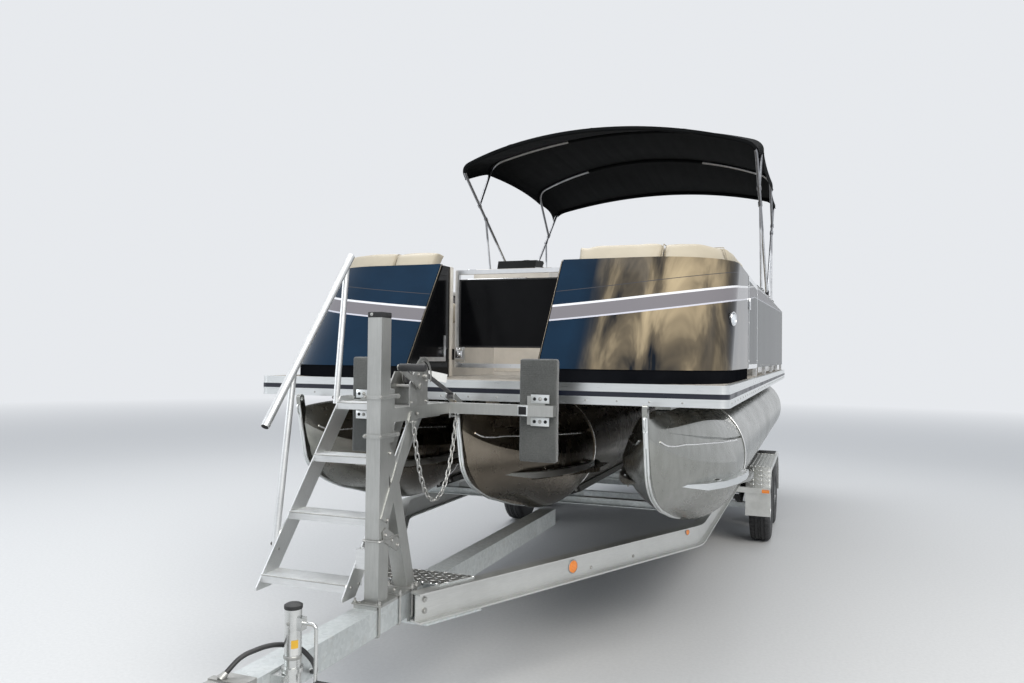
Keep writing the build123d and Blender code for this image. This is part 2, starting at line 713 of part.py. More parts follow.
GATE_BOTTOM = FLOOR_TOP + GATE_FLOOR_GAP
SIDE_AXIS = (FENCE_HALF - SKIN - GATE_TUBE / 2, SIDE_GATE_END - GATE_TUBE / 2)
SIDE_GATE_TOP = fence_top(SIDE_GATE_START)
side_gate = gate_frame(SIDE_GATE_END - SIDE_GATE_START, SIDE_GATE_TOP - GATE_BOTTOM,
                       GATE_TUBE, 2 * GATE_TUBE, GATE_TUBE)[0]
side_skin = slab(FENCE_HALF - SKIN, FENCE_HALF, SIDE_GATE_START, SIDE_GATE_END,
                 PANEL_BOTTOM, SIDE_GATE_TOP)
keep("side_gate", Pos(*SIDE_AXIS, GATE_BOTTOM) * Rot(0, 0, 90) * side_gate + side_skin)
port_frame += gate_lugs(*SIDE_AXIS, GATE_BOTTOM, SIDE_GATE_TOP,
                        (FENCE_HALF - SKIN, SIDE_GATE_END + GATE_GAP + 10))

STERN_AXIS = (-FENCE_INNER + 6 + GATE_GAP + GATE_TUBE / 2, STERN_FENCE + GATE_TUBE / 2)
stern_width = STERN_GATE_INNER - GATE_GAP - STERN_AXIS[0] + GATE_TUBE / 2
stern_height = STERN_TOP - GATE_BOTTOM
stern_gate, stern_fill = gate_frame(stern_width, stern_height, GATE_TUBE,
                                    stern_height - GATE_TUBE, GATE_TUBE)
stern_place = Pos(*STERN_AXIS, GATE_BOTTOM) * Rot(0, 0, 180)
keep("stern_gate", stern_place * (stern_gate + stern_fill))
gate_post = slab(-FENCE_INNER, -FENCE_INNER + 6, STERN_FENCE, STERN_FENCE + FENCE_TUBE,
                 FLOOR_TOP, STERN_TOP + 14)
gate_post += gate_lugs(*STERN_AXIS, GATE_BOTTOM, STERN_TOP,
                       (-FENCE_INNER + 3, STERN_FENCE + FENCE_TUBE - 4))
keep("side_panels", port_skin, star_skin, stern_skin)
keep("fence_frames", port_frame + stern_frame, star_frame + gate_post)

# Seats: moulded bases with thick cushions. The bow couches follow the bow panels.
BASE_TOP = FLOOR_TOP + SEAT_BASE_HEIGHT
SEAT_BOTTOM = BASE_TOP + SOFT_GAP
SEAT_TOP = SEAT_BOTTOM + CUSHION_THICKNESS
BACK_BOTTOM = SEAT_TOP + SOFT_GAP
COUCH_SIDE = FENCE_HALF - BOW_PANEL_THICKNESS - 22
COUCH_FRONT = BOW_PANEL_START + BOW_PANEL_THICKNESS + rake_at(SEAT_TOP) + 8


def couch_plan(inset, z0, z1):
    """The plan of a port bow couch with its rounded outer corner, drawn in by the inset."""
    x0, x1 = COUCH_INNER + inset, COUCH_SIDE - inset
    y0, y1 = COUCH_FRONT + inset, COUCH_END - inset
    radius = COUCH_CORNER - inset
    slant = math.sqrt(0.5)
    cx, cy = x1 - radius, y0 + radius
    edges = [
        Line((x0, y0, z0), (cx, y0, z0)),
        ThreePointArc((cx, y0, z0), (cx + radius * slant, cy - radius * slant, z0), (x1, cy, z0)),
        Line((x1, cy, z0), (x1, y1, z0)),
        Line((x1, y1, z0), (x0, y1, z0)),
        Line((x0, y1, z0), (x0, y0, z0)),
    ]
    return extrude(make_face(edges), amount=z1 - z0, dir=(0, 0, 1))


def bow_back():
    """The raked back cushion that wraps the bow panel's inside."""
    swept = bow_band(BOW_PANEL_THICKNESS + 6, BACK_THICKNESS, COUCH_INNER, COUCH_END,
                     BACK_BOTTOM, BACK_TOP)
    trim = slab(0, BEAM, COUCH_END, COUCH_END + 2 * BOW_RAKE, FLOOR_TOP, BACK_TOP + 50)
    side = slab(FENCE_HALF - BOW_PANEL_THICKNESS - 6 - BACK_THICKNESS,
                FENCE_HALF - BOW_PANEL_THICKNESS - 6, BOW_CORNER_RADIUS + BOW_RAKE + 60,
                COUCH_END, BACK_BOTTOM, BACK_TOP)
    return swept - trim + side


bow_base = couch_plan(12, FLOOR_TOP, BASE_TOP)
bow_seat = couch_plan(2, SEAT_BOTTOM, SEAT_TOP)
LOUNGE_X1 = FENCE_INNER - 14
LOUNGE_X0 = LOUNGE_X1 - LOUNGE_DEPTH
LOUNGE_Y1 = STERN_FENCE - 14
LOUNGE_Y0 = LOUNGE_Y1 - LOUNGE_DEPTH


def lounge_plan(inset, z0, z1):
    """The L-shaped stern lounge's plan, drawn in by the inset."""
    points = [(LOUNGE_X0 + inset, LOUNGE_START + inset), (LOUNGE_X1 - inset, LOUNGE_START + inset),
              (LOUNGE_X1 - inset, LOUNGE_Y1 - inset), (LOUNGE_STERN_INNER + inset, LOUNGE_Y1 - inset),
              (LOUNGE_STERN_INNER + inset, LOUNGE_Y0 + inset), (LOUNGE_X0 + inset, LOUNGE_Y0 + inset)]
    return plan_plate(points, z0, z1)


def lounge_back():
    """The L-shaped back cushion along the port and stern fences."""
    t = BACK_THICKNESS
    x1, y1 = LOUNGE_X1 - 4, LOUNGE_Y1 - 4
    points = [(x1 - t, LOUNGE_START + 4), (x1, LOUNGE_START + 4), (x1, y1),
              (LOUNGE_STERN_INNER + 4, y1), (LOUNGE_STERN_INNER + 4, y1 - t), (x1 - t, y1 - t)]
    return plan_plate(points, BACK_BOTTOM, BACK_TOP)


keep("seat_bases", both_sides(bow_base), lounge_plan(12, FLOOR_TOP, BASE_TOP))
keep("seat_cushions", both_sides(bow_seat), lounge_plan(2, SEAT_BOTTOM, SEAT_TOP))
keep("back_cushions", both_sides(bow_back()), lounge_back())


# Helm: a moulded console with an instrument hood, the wheel on its sloping face and a swivel chair.
def helm_axis_place():
    """The frame of the helm wheel's axis, pointing aft and up from the dash."""
    tilt = math.radians(HELM_WHEEL_TILT)
    y, z = CONSOLE_FRONT + 345, CONSOLE_TOP - 112
    return Plane(origin=(HELM_X, y, z), x_dir=(1, 0, 0),
                 z_dir=(0, math.cos(tilt), math.sin(tilt)))


def console():
    """The console's side outline carried across its width, with the boss of the helm wheel."""
    y, top = CONSOLE_FRONT, CONSOLE_TOP
    points = [(y + 40, FLOOR_TOP), (y, top - 430), (y + 30, top - 30), (y + 80, top),
              (y + 260, top), (y + 420, top - 210), (y + 430, top - 290), (y + 380, top - 370),
              (y + 380, FLOOR_TOP)]
    boss = Pos(0, 0, HELM_BOSS / 2 - 15) * Cylinder(32, HELM_BOSS + 30)
    return side_plate(points, CONSOLE_LEFT, CONSOLE_RIGHT) + helm_axis_place().location * boss


def hood():
    """The dark instrument hood on top of the console."""
    y, low, high = CONSOLE_FRONT, CONSOLE_TOP + SOFT_GAP, CONSOLE_TOP + HOOD_HEIGHT
    points = [(y + 85, low), (y + 110, high - 12), (y + 300, high), (y + 320, high - 16),
              (y + 250, low)]
    return side_plate(points, HELM_X - HOOD_HALF, HELM_X + HOOD_HALF)


def helm_wheel():
    """Rim, three spokes and boss of the helm wheel, standing off the dash."""
    rim = Pos(0, 0, 96) * Torus(HELM_WHEEL_RADIUS, HELM_WHEEL_GRIP)
    shaft_start = HELM_BOSS + SOFT_GAP
    wheel = rim + Pos(0, 0, 62) * Cylinder(38, 44)
    wheel += Pos(0, 0, (shaft_start + 46) / 2) * Cylinder(16, 46 - shaft_start)
    for number in range(3):
        turn = Rot(0, 0, 90 + 120 * number)
        wheel += turn * rod((30, 0, 66), (HELM_WHEEL_RADIUS, 0, 96), 8)
    return helm_axis_place().location * wheel


def chair():
    """Seat, back and arm rests of the helm chair."""
    half = CHAIR_WIDTH / 2
    x, y, z = HELM_X, CHAIR_STATION, CHAIR_SEAT_TOP
    low = z - CHAIR_SEAT_THICKNESS
    seat = side_plate([(y + 200, low), (y - 235, low), (y - 260, low + 45), (y - 245, z - 15),
                       (y - 200, z), (y + 200, z - 12)], x - half + 50, x + half - 50)
    back = side_plate([(y + 150, low), (y + 165, z + 40), (y + 205, z + 430), (y + 225, z + 460),
                       (y + 275, z + 455), (y + 300, z + 420), (y + 260, low)],
                      x - half + 30, x + half - 30)
    arm = [(y + 200, low + 30), (y - 120, low + 30), (y - 150, low + 60), (y - 150, z + 165),
           (y - 120, z + 190), (y + 200, z + 175)]
    arms = side_plate(arm, x - half, x - half + 50) + side_plate(arm, x + half - 50, x + half)
    socket = Pos(x, y, low - CHAIR_SOCKET / 2) * Cylinder(70, CHAIR_SOCKET)
    return seat + back + arms + socket


def pedestal():
    """The chair's fixed base and post."""
    top = CHAIR_SEAT_TOP - CHAIR_SEAT_THICKNESS - CHAIR_SOCKET - SOFT_GAP
    base = Pos(HELM_X, CHAIR_STATION, FLOOR_TOP + 9) * Cylinder(150, 18)
    return base + rod((HELM_X, CHAIR_STATION, FLOOR_TOP), (HELM_X, CHAIR_STATION, top), 38)


keep("helm_console", console())
keep("helm_hood", hood())
keep("helm_wheel", helm_wheel())
keep("chair_pedestal", pedestal())
keep("helm_chair", chair())


# Bimini top: two main bows from one pivot a side, two more hinged on them, and the braces.
BOW_RISE = BOW_CROWN_RADIUS - math.sqrt((BOW_CROWN_RADIUS - BOW_BEND)**2
                                        - (BIMINI_HALF - BOW_BEND)**2)


def bow_plane(foot, corner):
    """The leaning plane of a bow, its origin on the centreline between the feet, y up the legs."""
    dy, dz = corner[0] - foot[0], corner[1] - foot[1]
    length = math.hypot(dy, dz)
    plane = Plane(origin=(0, foot[0], foot[1]), x_dir=(1, 0, 0), z_dir=(0, -dz / length, dy / length))
    return plane, length


def bow_points(corner_height, offset):
    """Leg end, corner bend and crown points of a bow's line, drawn out by an offset."""
    leg_end = corner_height - BOW_BEND * math.sin(math.radians(45))
    centre_x, centre_y = BIMINI_HALF - BOW_BEND, leg_end
    crown_centre = leg_end + BOW_RISE - BOW_CROWN_RADIUS
    lean = math.atan2(centre_y - crown_centre, centre_x)
    bend, crown = BOW_BEND + offset, BOW_CROWN_RADIUS + offset
    middle = lean / 2
    return [(BIMINI_HALF + offset, leg_end),
            (centre_x + bend * math.cos(middle), centre_y + bend * math.sin(middle)),
            (centre_x + bend * math.cos(lean), centre_y + bend * math.sin(lean)),
            (0, crown_centre + crown)]


def flipped(point):
    """The point's mirror image across the centreline."""
    return -point[0], point[1]


def bow_line(corner_height, offset, low, turned=False):
    """Leg, bend, crown, bend and leg of a bow as five edges, from port or from starboard."""
    leg, bend, shoulder, top = bow_points(corner_height, offset)
    edges = [
        Line((leg[0], low), leg),
        ThreePointArc(leg, bend, shoulder),
        ThreePointArc(shoulder, top, flipped(shoulder)),
        ThreePointArc(flipped(shoulder), flipped(bend), flipped(leg)),
        Line(flipped(leg), (-leg[0], low)),
    ]
    if not turned:
        return edges
    return [
        Line((-leg[0], low), flipped(leg)),
        ThreePointArc(flipped(leg), flipped(bend), flipped(shoulder)),
        ThreePointArc(flipped(shoulder), top, shoulder),
        ThreePointArc(shoulder, bend, leg),
        Line(leg, (leg[0], low)),
    ]


def bimini_bow(foot, corner, low=0):
    """One bent tube in its leaning plane."""
    plane, height = bow_plane(foot, corner)
    path = Wire([edge for line in bow_line(height, 0, low) for edge in line.edges()])
    start = Plane(origin=path @ 0, z_dir=path % 0)
    return plane.location * sweep(start * Circle(BOW_TUBE), path=path)


def along(start, end, share):
    """A point part of the way between two (station, height) points."""
    return start[0] + (end[0] - start[0]) * share, start[1] + (end[1] - start[1]) * share


def sleeve(start, end, share):
    """A slider round both legs of a main bow, part of the way up, as a solid and its bore."""
    y, z = along(start, end, share)
    length = math.hypot(end[0] - start[0], end[1] - start[1])
    dy, dz = (end[0] - start[0]) / length * SLEEVE_HALF, (end[1] - start[1]) / length * SLEEVE_HALF
    solids, bores = None, None
    for x in (-BIMINI_HALF, BIMINI_HALF):
        body = rod((x, y - dy, z - dz), (x, y + dy, z + dz), BOW_TUBE + 5)
        bore = rod((x, y - 3 * dy, z - 3 * dz), (x, y + 3 * dy, z + 3 * dz), BOW_TUBE + SOFT_GAP)
        solids = body if solids is None else solids + body
        bores = bore if bores is None else bores + bore
    return solids, bores, (y, z)


def foot_block(y, z):
    """A mount on the fence top, with its underside along the slope."""
    half = 45
    outline = [(y - half, fence_top(y - half) + SOFT_GAP), (y + half, fence_top(y + half) + SOFT_GAP),
               (y + 24, z + 16), (y - 24, z + 16)]
    block = side_plate(outline, BIMINI_HALF - 13, BIMINI_HALF + 16)
    return block + mirror(block, about=Plane.YZ)


def hinged_bow(main_corner, share, corner):
    """A lighter bow that starts from sliders on a main bow's legs."""
    solids, bores, foot = sleeve(BIMINI_PIVOT, main_corner, share)
    return bimini_bow(foot, corner) + solids - bores


def brace(main_corner, share, foot):
    """A brace a side from a fence mount up to a slider on the main leg."""
    solids, bores, top = sleeve(BIMINI_PIVOT, main_corner, share)
    low = (foot, fence_top(foot) + 22)
    body = solids + foot_block(*low)
    for x in (-BIMINI_HALF, BIMINI_HALF):
        body += rod((x, *low), (x, *top), BRACE_TUBE)
    return body - bores


pivot_block = foot_block(*BIMINI_PIVOT)
keep("bimini_main_bows", bimini_bow(BIMINI_PIVOT, BIMINI_FRONT)
     + bimini_bow(BIMINI_PIVOT, BIMINI_REAR) + pivot_block)
keep("bimini_bows", hinged_bow(BIMINI_FRONT, 0.752, BIMINI_SECOND),
     hinged_bow(BIMINI_REAR, 0.713, BIMINI_THIRD),
     brace(BIMINI_FRONT, 0.655, BRACE_FEET[0]), brace(BIMINI_REAR, 0.635, BRACE_FEET[1]))


def canvas():
    """The canopy: a sheet over the four bows that wraps their bends and a little of the legs."""
    sections = []
    knuckle_front = along(BIMINI_PIVOT, BIMINI_FRONT, 0.752)
    knuckle_rear = along(BIMINI_PIVOT, BIMINI_REAR, 0.713)
    for foot, corner, offset in ((BIMINI_PIVOT, BIMINI_FRONT, 18), (knuckle_front, BIMINI_SECOND, 20),
                                 (knuckle_rear, BIMINI_THIRD, 20), (BIMINI_PIVOT, BIMINI_REAR, 18)):
        plane, height = bow_plane(foot, corner)
        low = bow_points(height, 0)[0][1] - CANVAS_SKIRT
        outer = bow_line(height, offset + CANVAS_THICKNESS, low)
        inner = bow_line(height, offset, low, turned=True)
        ends = [Line((-BIMINI_HALF - offset - CANVAS_THICKNESS, low), (-BIMINI_HALF - offset, low)),
                Line((BIMINI_HALF + offset, low), (BIMINI_HALF + offset + CANVAS_THICKNESS, low))]
        sections.append(plane.location * make_face(outer + [ends[0]] + inner + [ends[1]]))
    return loft(sections, ruled=True)


keep("bimini_canvas", canvas())

# Outboard: pod and transom, clamp bracket, swivel bracket, engine and propeller.
pod_points = [(CENTRE_TUBE_END + SOFT_GAP, POD_BOTTOM + 100),
              (CENTRE_TUBE_END + SOFT_GAP, CHANNEL_BOTTOM - SOFT_GAP),
              (DECK_LENGTH - 40, CHANNEL_BOTTOM - SOFT_GAP), (DECK_LENGTH - 40, TRANSOM_TOP),
              (TRANSOM_STATION, TRANSOM_TOP), (TRANSOM_STATION, POD_BOTTOM + 20),
              (TRANSOM_STATION - 60, POD_BOTTOM), (CENTRE_TUBE_END + 260, POD_BOTTOM)]
keep("motor_pod", side_plate(pod_points, -POD_HALF, POD_HALF))
ty, tz = TILT_AXIS


def clamp_bracket():
    """Two side plates hooked over the transom, with the tilt tube across them."""
    y0 = TRANSOM_STATION
    points = [(y0 - 46, TRANSOM_TOP), (y0 - 46, TRANSOM_TOP + 30), (y0 - 20, TRANSOM_TOP + 45),
              (ty + 18, TRANSOM_TOP + 45), (ty + 24, tz - 30), (y0 + 30, CLAMP_BOTTOM + 10),
              (y0, CLAMP_BOTTOM), (y0, TRANSOM_TOP)]
    inner = CLAMP_HALF - CLAMP_PLATE
    bracket = side_plate(points, inner, CLAMP_HALF) + side_plate(points, -CLAMP_HALF, -inner)
    return bracket + rod((-CLAMP_HALF, ty, tz), (CLAMP_HALF, ty, tz), TILT_TUBE)


def swivel_bracket():
    """The bracket that tilts on the tube and carries the steering shaft."""
    points = [(ty - 24, tz - 22), (ty - 24, tz + 22), (STEER_STATION + 34, tz + 22),
              (STEER_STATION + 34, SWIVEL_BOTTOM), (STEER_STATION - 34, SWIVEL_BOTTOM),
              (STEER_STATION - 40, TRANSOM_TOP - 55)]
    body = side_plate(points, -SWIVEL_HALF, SWIVEL_HALF)
    body -= rod((-SWIVEL_HALF - 1, ty, tz), (SWIVEL_HALF + 1, ty, tz), TILT_TUBE + SOFT_GAP)
    return body - rod((0, STEER_STATION, SWIVEL_BOTTOM - 20), (0, STEER_STATION, tz + 40),
                      STEER_SHAFT + SOFT_GAP)


def outboard_leg():
    """Steering shaft and yokes, mid-section, plate, gearcase and skeg."""
    y = STEER_STATION
    shaft = rod((0, y, YOKE_BOTTOM), (0, y, tz + 60), STEER_SHAFT)
    upper = slab(-60, 60, y - 34, y + 190, tz + 30, tz + 60)
    lower = slab(-50, 50, y - 30, y + 190, YOKE_BOTTOM, SWIVEL_BOTTOM - 10)
    # height, front and rear from the steering axis, and half width of the mid-section
    rows = ((VENT_PLATE, 90, 360, 40), (LEG_NECK, 130, 282, 34), (LEG_NECK + 490, 90, 300, 54),
            (COWL_BOTTOM - SOFT_GAP, 80, 330, LEG_HALF))
    middle = loft([Pos(0, y + (front + rear) / 2, z)
                   * RectangleRounded(2 * half, rear - front, half * 0.6)
                   for z, front, rear, half in rows], ruled=True)
    plate = plan_plate([(-60, y + 60), (60, y + 60), (112, y + 200), (112, y + 470),
                        (-112, y + 470), (-112, y + 200)], VENT_PLATE, VENT_PLATE + 10)
    strut = side_plate([(y + 130, VENT_PLATE + 2), (y + 400, VENT_PLATE + 2), (y + 420, PROP_Z),
                        (y + 200, PROP_Z), (y + 140, PROP_Z + 95)], -22, 22)
    nose_station = y + 140
    gearcase = Pos(0, nose_station, PROP_Z) * Sphere(GEARCASE)
    gearcase += rod((0, nose_station, PROP_Z), (0, PROP_STATION - 40, PROP_Z), GEARCASE)
    skeg = side_plate([(y + 170, PROP_Z - 30), (y + 400, PROP_Z - 30), (y + 430, SKEG_BOTTOM),
                       (y + 340, SKEG_BOTTOM)], -7, 7)
    axle = rod((0, PROP_STATION - 60, PROP_Z), (0, PROP_STATION + 60, PROP_Z), PROP_SHAFT)
    return shaft + upper + lower + middle + plate + strut + gearcase + skeg + axle


def cowl():
    """The engine cover, from its lower lip out to the shoulder and in to the sloping top."""
    # height, share of the full width and length, and how far the middle moves forward
    rows = ((COWL_BOTTOM, 0.84, 0), (COWL_BOTTOM + 40, 0.90, 0), (COWL_BOTTOM + 110, 1.0, 0),
            (COWL_BOTTOM + 330, 0.96, 6), (COWL_TOP - 55, 0.84, 20), (COWL_TOP, 0.62, 40))
    sections = [Pos(0, COWL_CENTRE - forward, z)
                * RectangleRounded(2 * COWL_HALF * share, 2 * COWL_REACH * share,
                                   COWL_HALF * share * 0.62) for z, share, forward in rows]
    return loft(sections, ruled=True)


def propeller():
    """Hub and three pitched blades on the shaft."""
    hub = rod((0, PROP_STATION - 38, PROP_Z), (0, PROP_STATION + 48, PROP_Z), PROP_HUB)
    for number in range(3):
        blade = Box(92, 7, PROP_RADIUS - 45)
        blade = Pos(0, 0, (PROP_RADIUS + 45) / 2) * Rot(0, 0, 38) * blade
        hub += Pos(0, PROP_STATION, PROP_Z) * Rot(0, 120 * number, 0) * blade
    return hub - rod((0, PROP_STATION - 60, PROP_Z), (0, PROP_STATION + 62, PROP_Z),
                     PROP_SHAFT + SOFT_GAP)


keep("clamp_bracket", clamp_bracket())
keep("swivel_bracket", swivel_bracket())
keep("outboard_leg", outboard_leg())
keep("outboard_cowl", cowl())
keep("propeller", propeller())

# Trailer frame: two I-beams that meet at the tongue, cross-beams, tongue, bunks and axles.
BEAM_TOP = BEAM_BOTTOM + BEAM_HEIGHT


def eased_bend(start, bend, radius, steps):
    """Points of an arc that eases a bend from a sloping line into one that runs aft."""
    turn = math.atan2(bend[0] - start[0], bend[1] - start[1])
    tangent = radius * math.tan(turn / 2)
    centre = (bend[0] - radius, bend[1] + tangent)
    return [(centre[0] + radius * math.cos(turn * (1 - step / steps)),
             centre[1] - radius * math.sin(turn * (1 - step / steps))) for step in range(steps + 1)]


rail_nose = (FRAME_NOSE_HALF, FRAME_NOSE)
rail_line = [rail_nose, *eased_bend(rail_nose, (FRAME_HALF, FRAME_BEND), FRAME_BEND_RADIUS, 4),
             (FRAME_HALF, FRAME_END)]
rail = i_beam(rail_line, BEAM_BOTTOM, BEAM_HEIGHT, BEAM_FLANGE, BEAM_FLANGE_THICKNESS, BEAM_WEB)
keep("frame_rails", both_sides(rail))
CROSS_TOP = BEAM_TOP + CROSS_HEIGHT
cross_beams = [i_beam([(-FRAME_HALF - 25, y), (FRAME_HALF + 25, y)], BEAM_TOP, CROSS_HEIGHT,
                      CROSS_FLANGE, 6, 6) for y in CROSS_STATIONS]
TONGUE_TOP = TONGUE_BOTTOM + 2 * TONGUE_HALF
tongue = slab(-TONGUE_HALF, TONGUE_HALF, TONGUE_FRONT, TONGUE_END, TONGUE_BOTTOM, TONGUE_TOP)
tongue += slab(-TONGUE_HALF, TONGUE_HALF, FRAME_NOSE, FRAME_NOSE + 300, BEAM_BOTTOM, TONGUE_BOTTOM)
tongue += plan_plate([(-140, FRAME_NOSE + 10), (140, FRAME_NOSE + 10), (270, FRAME_NOSE + 290),
                      (-270, FRAME_NOSE + 290)], BEAM_BOTTOM - 8, BEAM_BOTTOM)
tongue += plan_plate([(-140, FRAME_NOSE + 135), (140, FRAME_NOSE + 135), (225, FRAME_NOSE + 310),
                      (-225, FRAME_NOSE + 310)], BEAM_TOP, BEAM_TOP + 5)
tongue += slab(-20, 20, FRAME_NOSE + 140, FRAME_NOSE + 300, TONGUE_TOP, BEAM_TOP)
hose_points = [Vector(*point) for point in HOSE_ROUTE]


def hose_gland(end, inward):
    """A sleeve in line with one end of the hose, that reaches into what carries it."""
    away = (end - inward).normalized()
    return rod(end, end + away * 24, HOSE_RADIUS + 3)


tongue += hose_gland(hose_points[-1], hose_points[-2])
keep("tongue", tongue)


def bunk_place(x, side):
    """The middle of a bunk's face against the tube, and its lean."""
    lean = math.radians(BUNK_ANGLE) * side
    reach = TUBE_RADIUS + SOFT_GAP + BUNK_THICKNESS / 2
    return x + reach * math.sin(lean), TUBE_CENTRE_Z - reach * math.cos(lean), BUNK_ANGLE * side


def bunk(x, side):
    """A carpeted board leaning against one side of a tube."""
    bx, bz, lean = bunk_place(x, side)
    board = Box(BUNK_WIDTH, BUNK_END - BUNK_START, BUNK_THICKNESS)
    return Pos(bx, (BUNK_START + BUNK_END) / 2, bz) * Rot(0, -lean, 0) * board


def bunk_bracket(x, side, station):
    """A plate from a cross-beam up to the underside of a bunk."""
    bx, bz, lean = bunk_place(x, side)
    turn = math.radians(lean)
    half = BUNK_WIDTH / 2 - 10
    low = BUNK_THICKNESS / 2
    top = [(bx + s * half * math.cos(turn) + low * math.sin(turn),
            bz + s * half * math.sin(turn) - low * math.cos(turn)) for s in (-1, 1)]
    (xa, za), (xb, zb) = top
    limit = FRAME_HALF + 20
    low_a, low_b = max(-limit, min(limit, xa)), max(-limit, min(limit, xb))
    points = [(low_a, CROSS_TOP - 3), (low_b, CROSS_TOP - 3), (xb, zb), (xa, za)]
    outline = make_face(Polyline(*[(px, station - 5, pz) for px, pz in points], close=True))
    return extrude(outline, amount=10, dir=(0, 1, 0))


bunk_sides = [(x, side) for x in (-TUBE_PITCH, 0, TUBE_PITCH) for side in (-1, 1)]
keep("bunks", *[bunk(x, side) for x, side in bunk_sides])
for number, y in enumerate(CROSS_STATIONS):
    for x, side in bunk_sides:
        cross_beams[number] += bunk_bracket(x, side, y)
keep("cross_beams", *cross_beams)


def axle(station):
    """A square tube axle with its spindles and the flanges behind the wheels."""
    end = WHEEL_X - 118
    body = slab(-end, end, station - AXLE_TUBE / 2, station + AXLE_TUBE / 2,
                TYRE_RADIUS - AXLE_TUBE / 2, TYRE_RADIUS + AXLE_TUBE / 2)
    for side in (-1, 1):
        body += rod((side * (end - 20), station, TYRE_RADIUS),
                    (side * (WHEEL_X + 30), station, TYRE_RADIUS), SPINDLE_RADIUS)
        body += rod((side * end, station, TYRE_RADIUS),
                    (side * (end + 12), station, TYRE_RADIUS), 62)
    return body


def leaf_spring(station):
    """A port leaf spring seated on its axle, with a hanger to the rail at both ends."""
    seat_z = TYRE_RADIUS + AXLE_TUBE / 2
    low, high = seat_z + 14, seat_z + 14 + SPRING_RISE
    x0, x1 = FRAME_HALF - SPRING_WIDTH / 2, FRAME_HALF + SPRING_WIDTH / 2
    ya, yb = station - SPRING_REACH, station + SPRING_REACH
    edges = [
        ThreePointArc((x0, ya, high), (x0, station, low), (x0, yb, high)),
        Line((x0, yb, high), (x0, yb, high + SPRING_STACK)),
        ThreePointArc((x0, yb, high + SPRING_STACK), (x0, station, low + SPRING_STACK),
                      (x0, ya, high + SPRING_STACK)),
        Line((x0, ya, high + SPRING_STACK), (x0, ya, high)),
    ]
    spring = extrude(make_face(edges), amount=SPRING_WIDTH, dir=(1, 0, 0))
    spring += slab(x0, x1, station - 50, station + 50, seat_z, low + 8)
    for y in (ya, yb):
        spring += rod((x0, y, high + SPRING_STACK / 2), (x1, y, high + SPRING_STACK / 2), 20)
        for x in (x0 - 6, x1):
            spring += side_plate([(y - 24, high - 14), (y + 24, high - 14), (y + 40, BEAM_BOTTOM),
                                  (y - 40, BEAM_BOTTOM)], x, x + 6)
    return spring


keep("axles", *[axle(y) for y in WHEEL_STATIONS])
keep("leaf_springs", *[both_sides(leaf_spring(y)) for y in WHEEL_STATIONS])


def ring_profile(points):
    """Revolve an outline of (x, radius) points about the X axis."""
    outline = make_face(Polyline(*[(x, r, 0) for x, r in points], close=True))
    return revolve(outline, axis=Axis.X)


def tyre():
    """A trailer tyre with rounded shoulders, its middle at x = 0."""
    half, bead = TYRE_WIDTH / 2, RIM_RADIUS + 2
    points = [(-half + 22, bead), (-half + 2, bead + 40), (-half, bead + 78),
              (-half + 8, TYRE_RADIUS - 22), (-half + 26, TYRE_RADIUS - 4), (-half + 44, TYRE_RADIUS),
              (half - 44, TYRE_RADIUS), (half - 26, TYRE_RADIUS - 4), (half - 8, TYRE_RADIUS - 22),
              (half, bead + 78), (half - 2, bead + 40), (half - 22, bead)]
    return ring_profile(points)


def rim():
    """An open-spoked wheel with its hub, turning on the spindle."""
    half = TYRE_WIDTH / 2 - 14
    barrel = ring_profile([(-half, RIM_RADIUS - 12), (-half, RIM_RADIUS + 1.7), (half, RIM_RADIUS + 1.7),
                           (half, RIM_RADIUS - 12), (half - 30, RIM_RADIUS - 26),
                           (-half + 30, RIM_RADIUS - 26)])
    face = ring_profile([(30, SPINDLE_RADIUS + 0.3), (30, RIM_RADIUS - 20), (44, RIM_RADIUS - 20),
                         (58, 60), (58, SPINDLE_RADIUS + 0.3)])
    for number in range(5):
        hole = Pos(44, 0, 0) * Rot(72 * number, 0, 0) * Pos(0, 0, 100) * Rot(0, 90, 0) * Cylinder(25, 60)
        face -= hole
    hub = ring_profile([(-100, SPINDLE_RADIUS + 0.3), (-100, 52), (32, 52), (32, SPINDLE_RADIUS + 0.3)])
    cap = ring_profile([(31, 0), (31, 34), (78, 30), (84, 22), (84, 0)])
    return barrel + face + hub + cap


wheel_tyre, wheel_rim = tyre(), rim()
for side, side_name in ((1, "port"), (-1, "starboard")):
    for station, place_name in zip(WHEEL_STATIONS, ("front", "rear")):
        place = Pos(side * WHEEL_X, station, TYRE_RADIUS) * Rot(0, 0, 0 if side > 0 else 180)
        keep(f"tyre_{place_name}_{side_name}", place * wheel_tyre)
        keep(f"rim_{place_name}_{side_name}", place * wheel_rim)

# Fenders: one folded sheet over both wheels of a side, with an inner wall and an outer lip.
fender_end = WHEEL_STATIONS[0] + WHEEL_STATIONS[1] - FENDER_START


def fender_outline(inset):
    """Half of the fender's side outline mirrored about its middle, drawn in by the inset."""
    middle = (WHEEL_STATIONS[0] + WHEEL_STATIONS[1]) / 2
    rise = inset * math.tan(math.radians(22.5))
    front = [(FENDER_START + inset, FENDER_BOTTOM),
             (FENDER_START + inset, FENDER_SHOULDER - rise / 2),
             (FENDER_START + FENDER_SLOPE + rise, FENDER_TOP - inset)]
    return front + [(2 * middle - y, z) for y, z in front[::-1]]


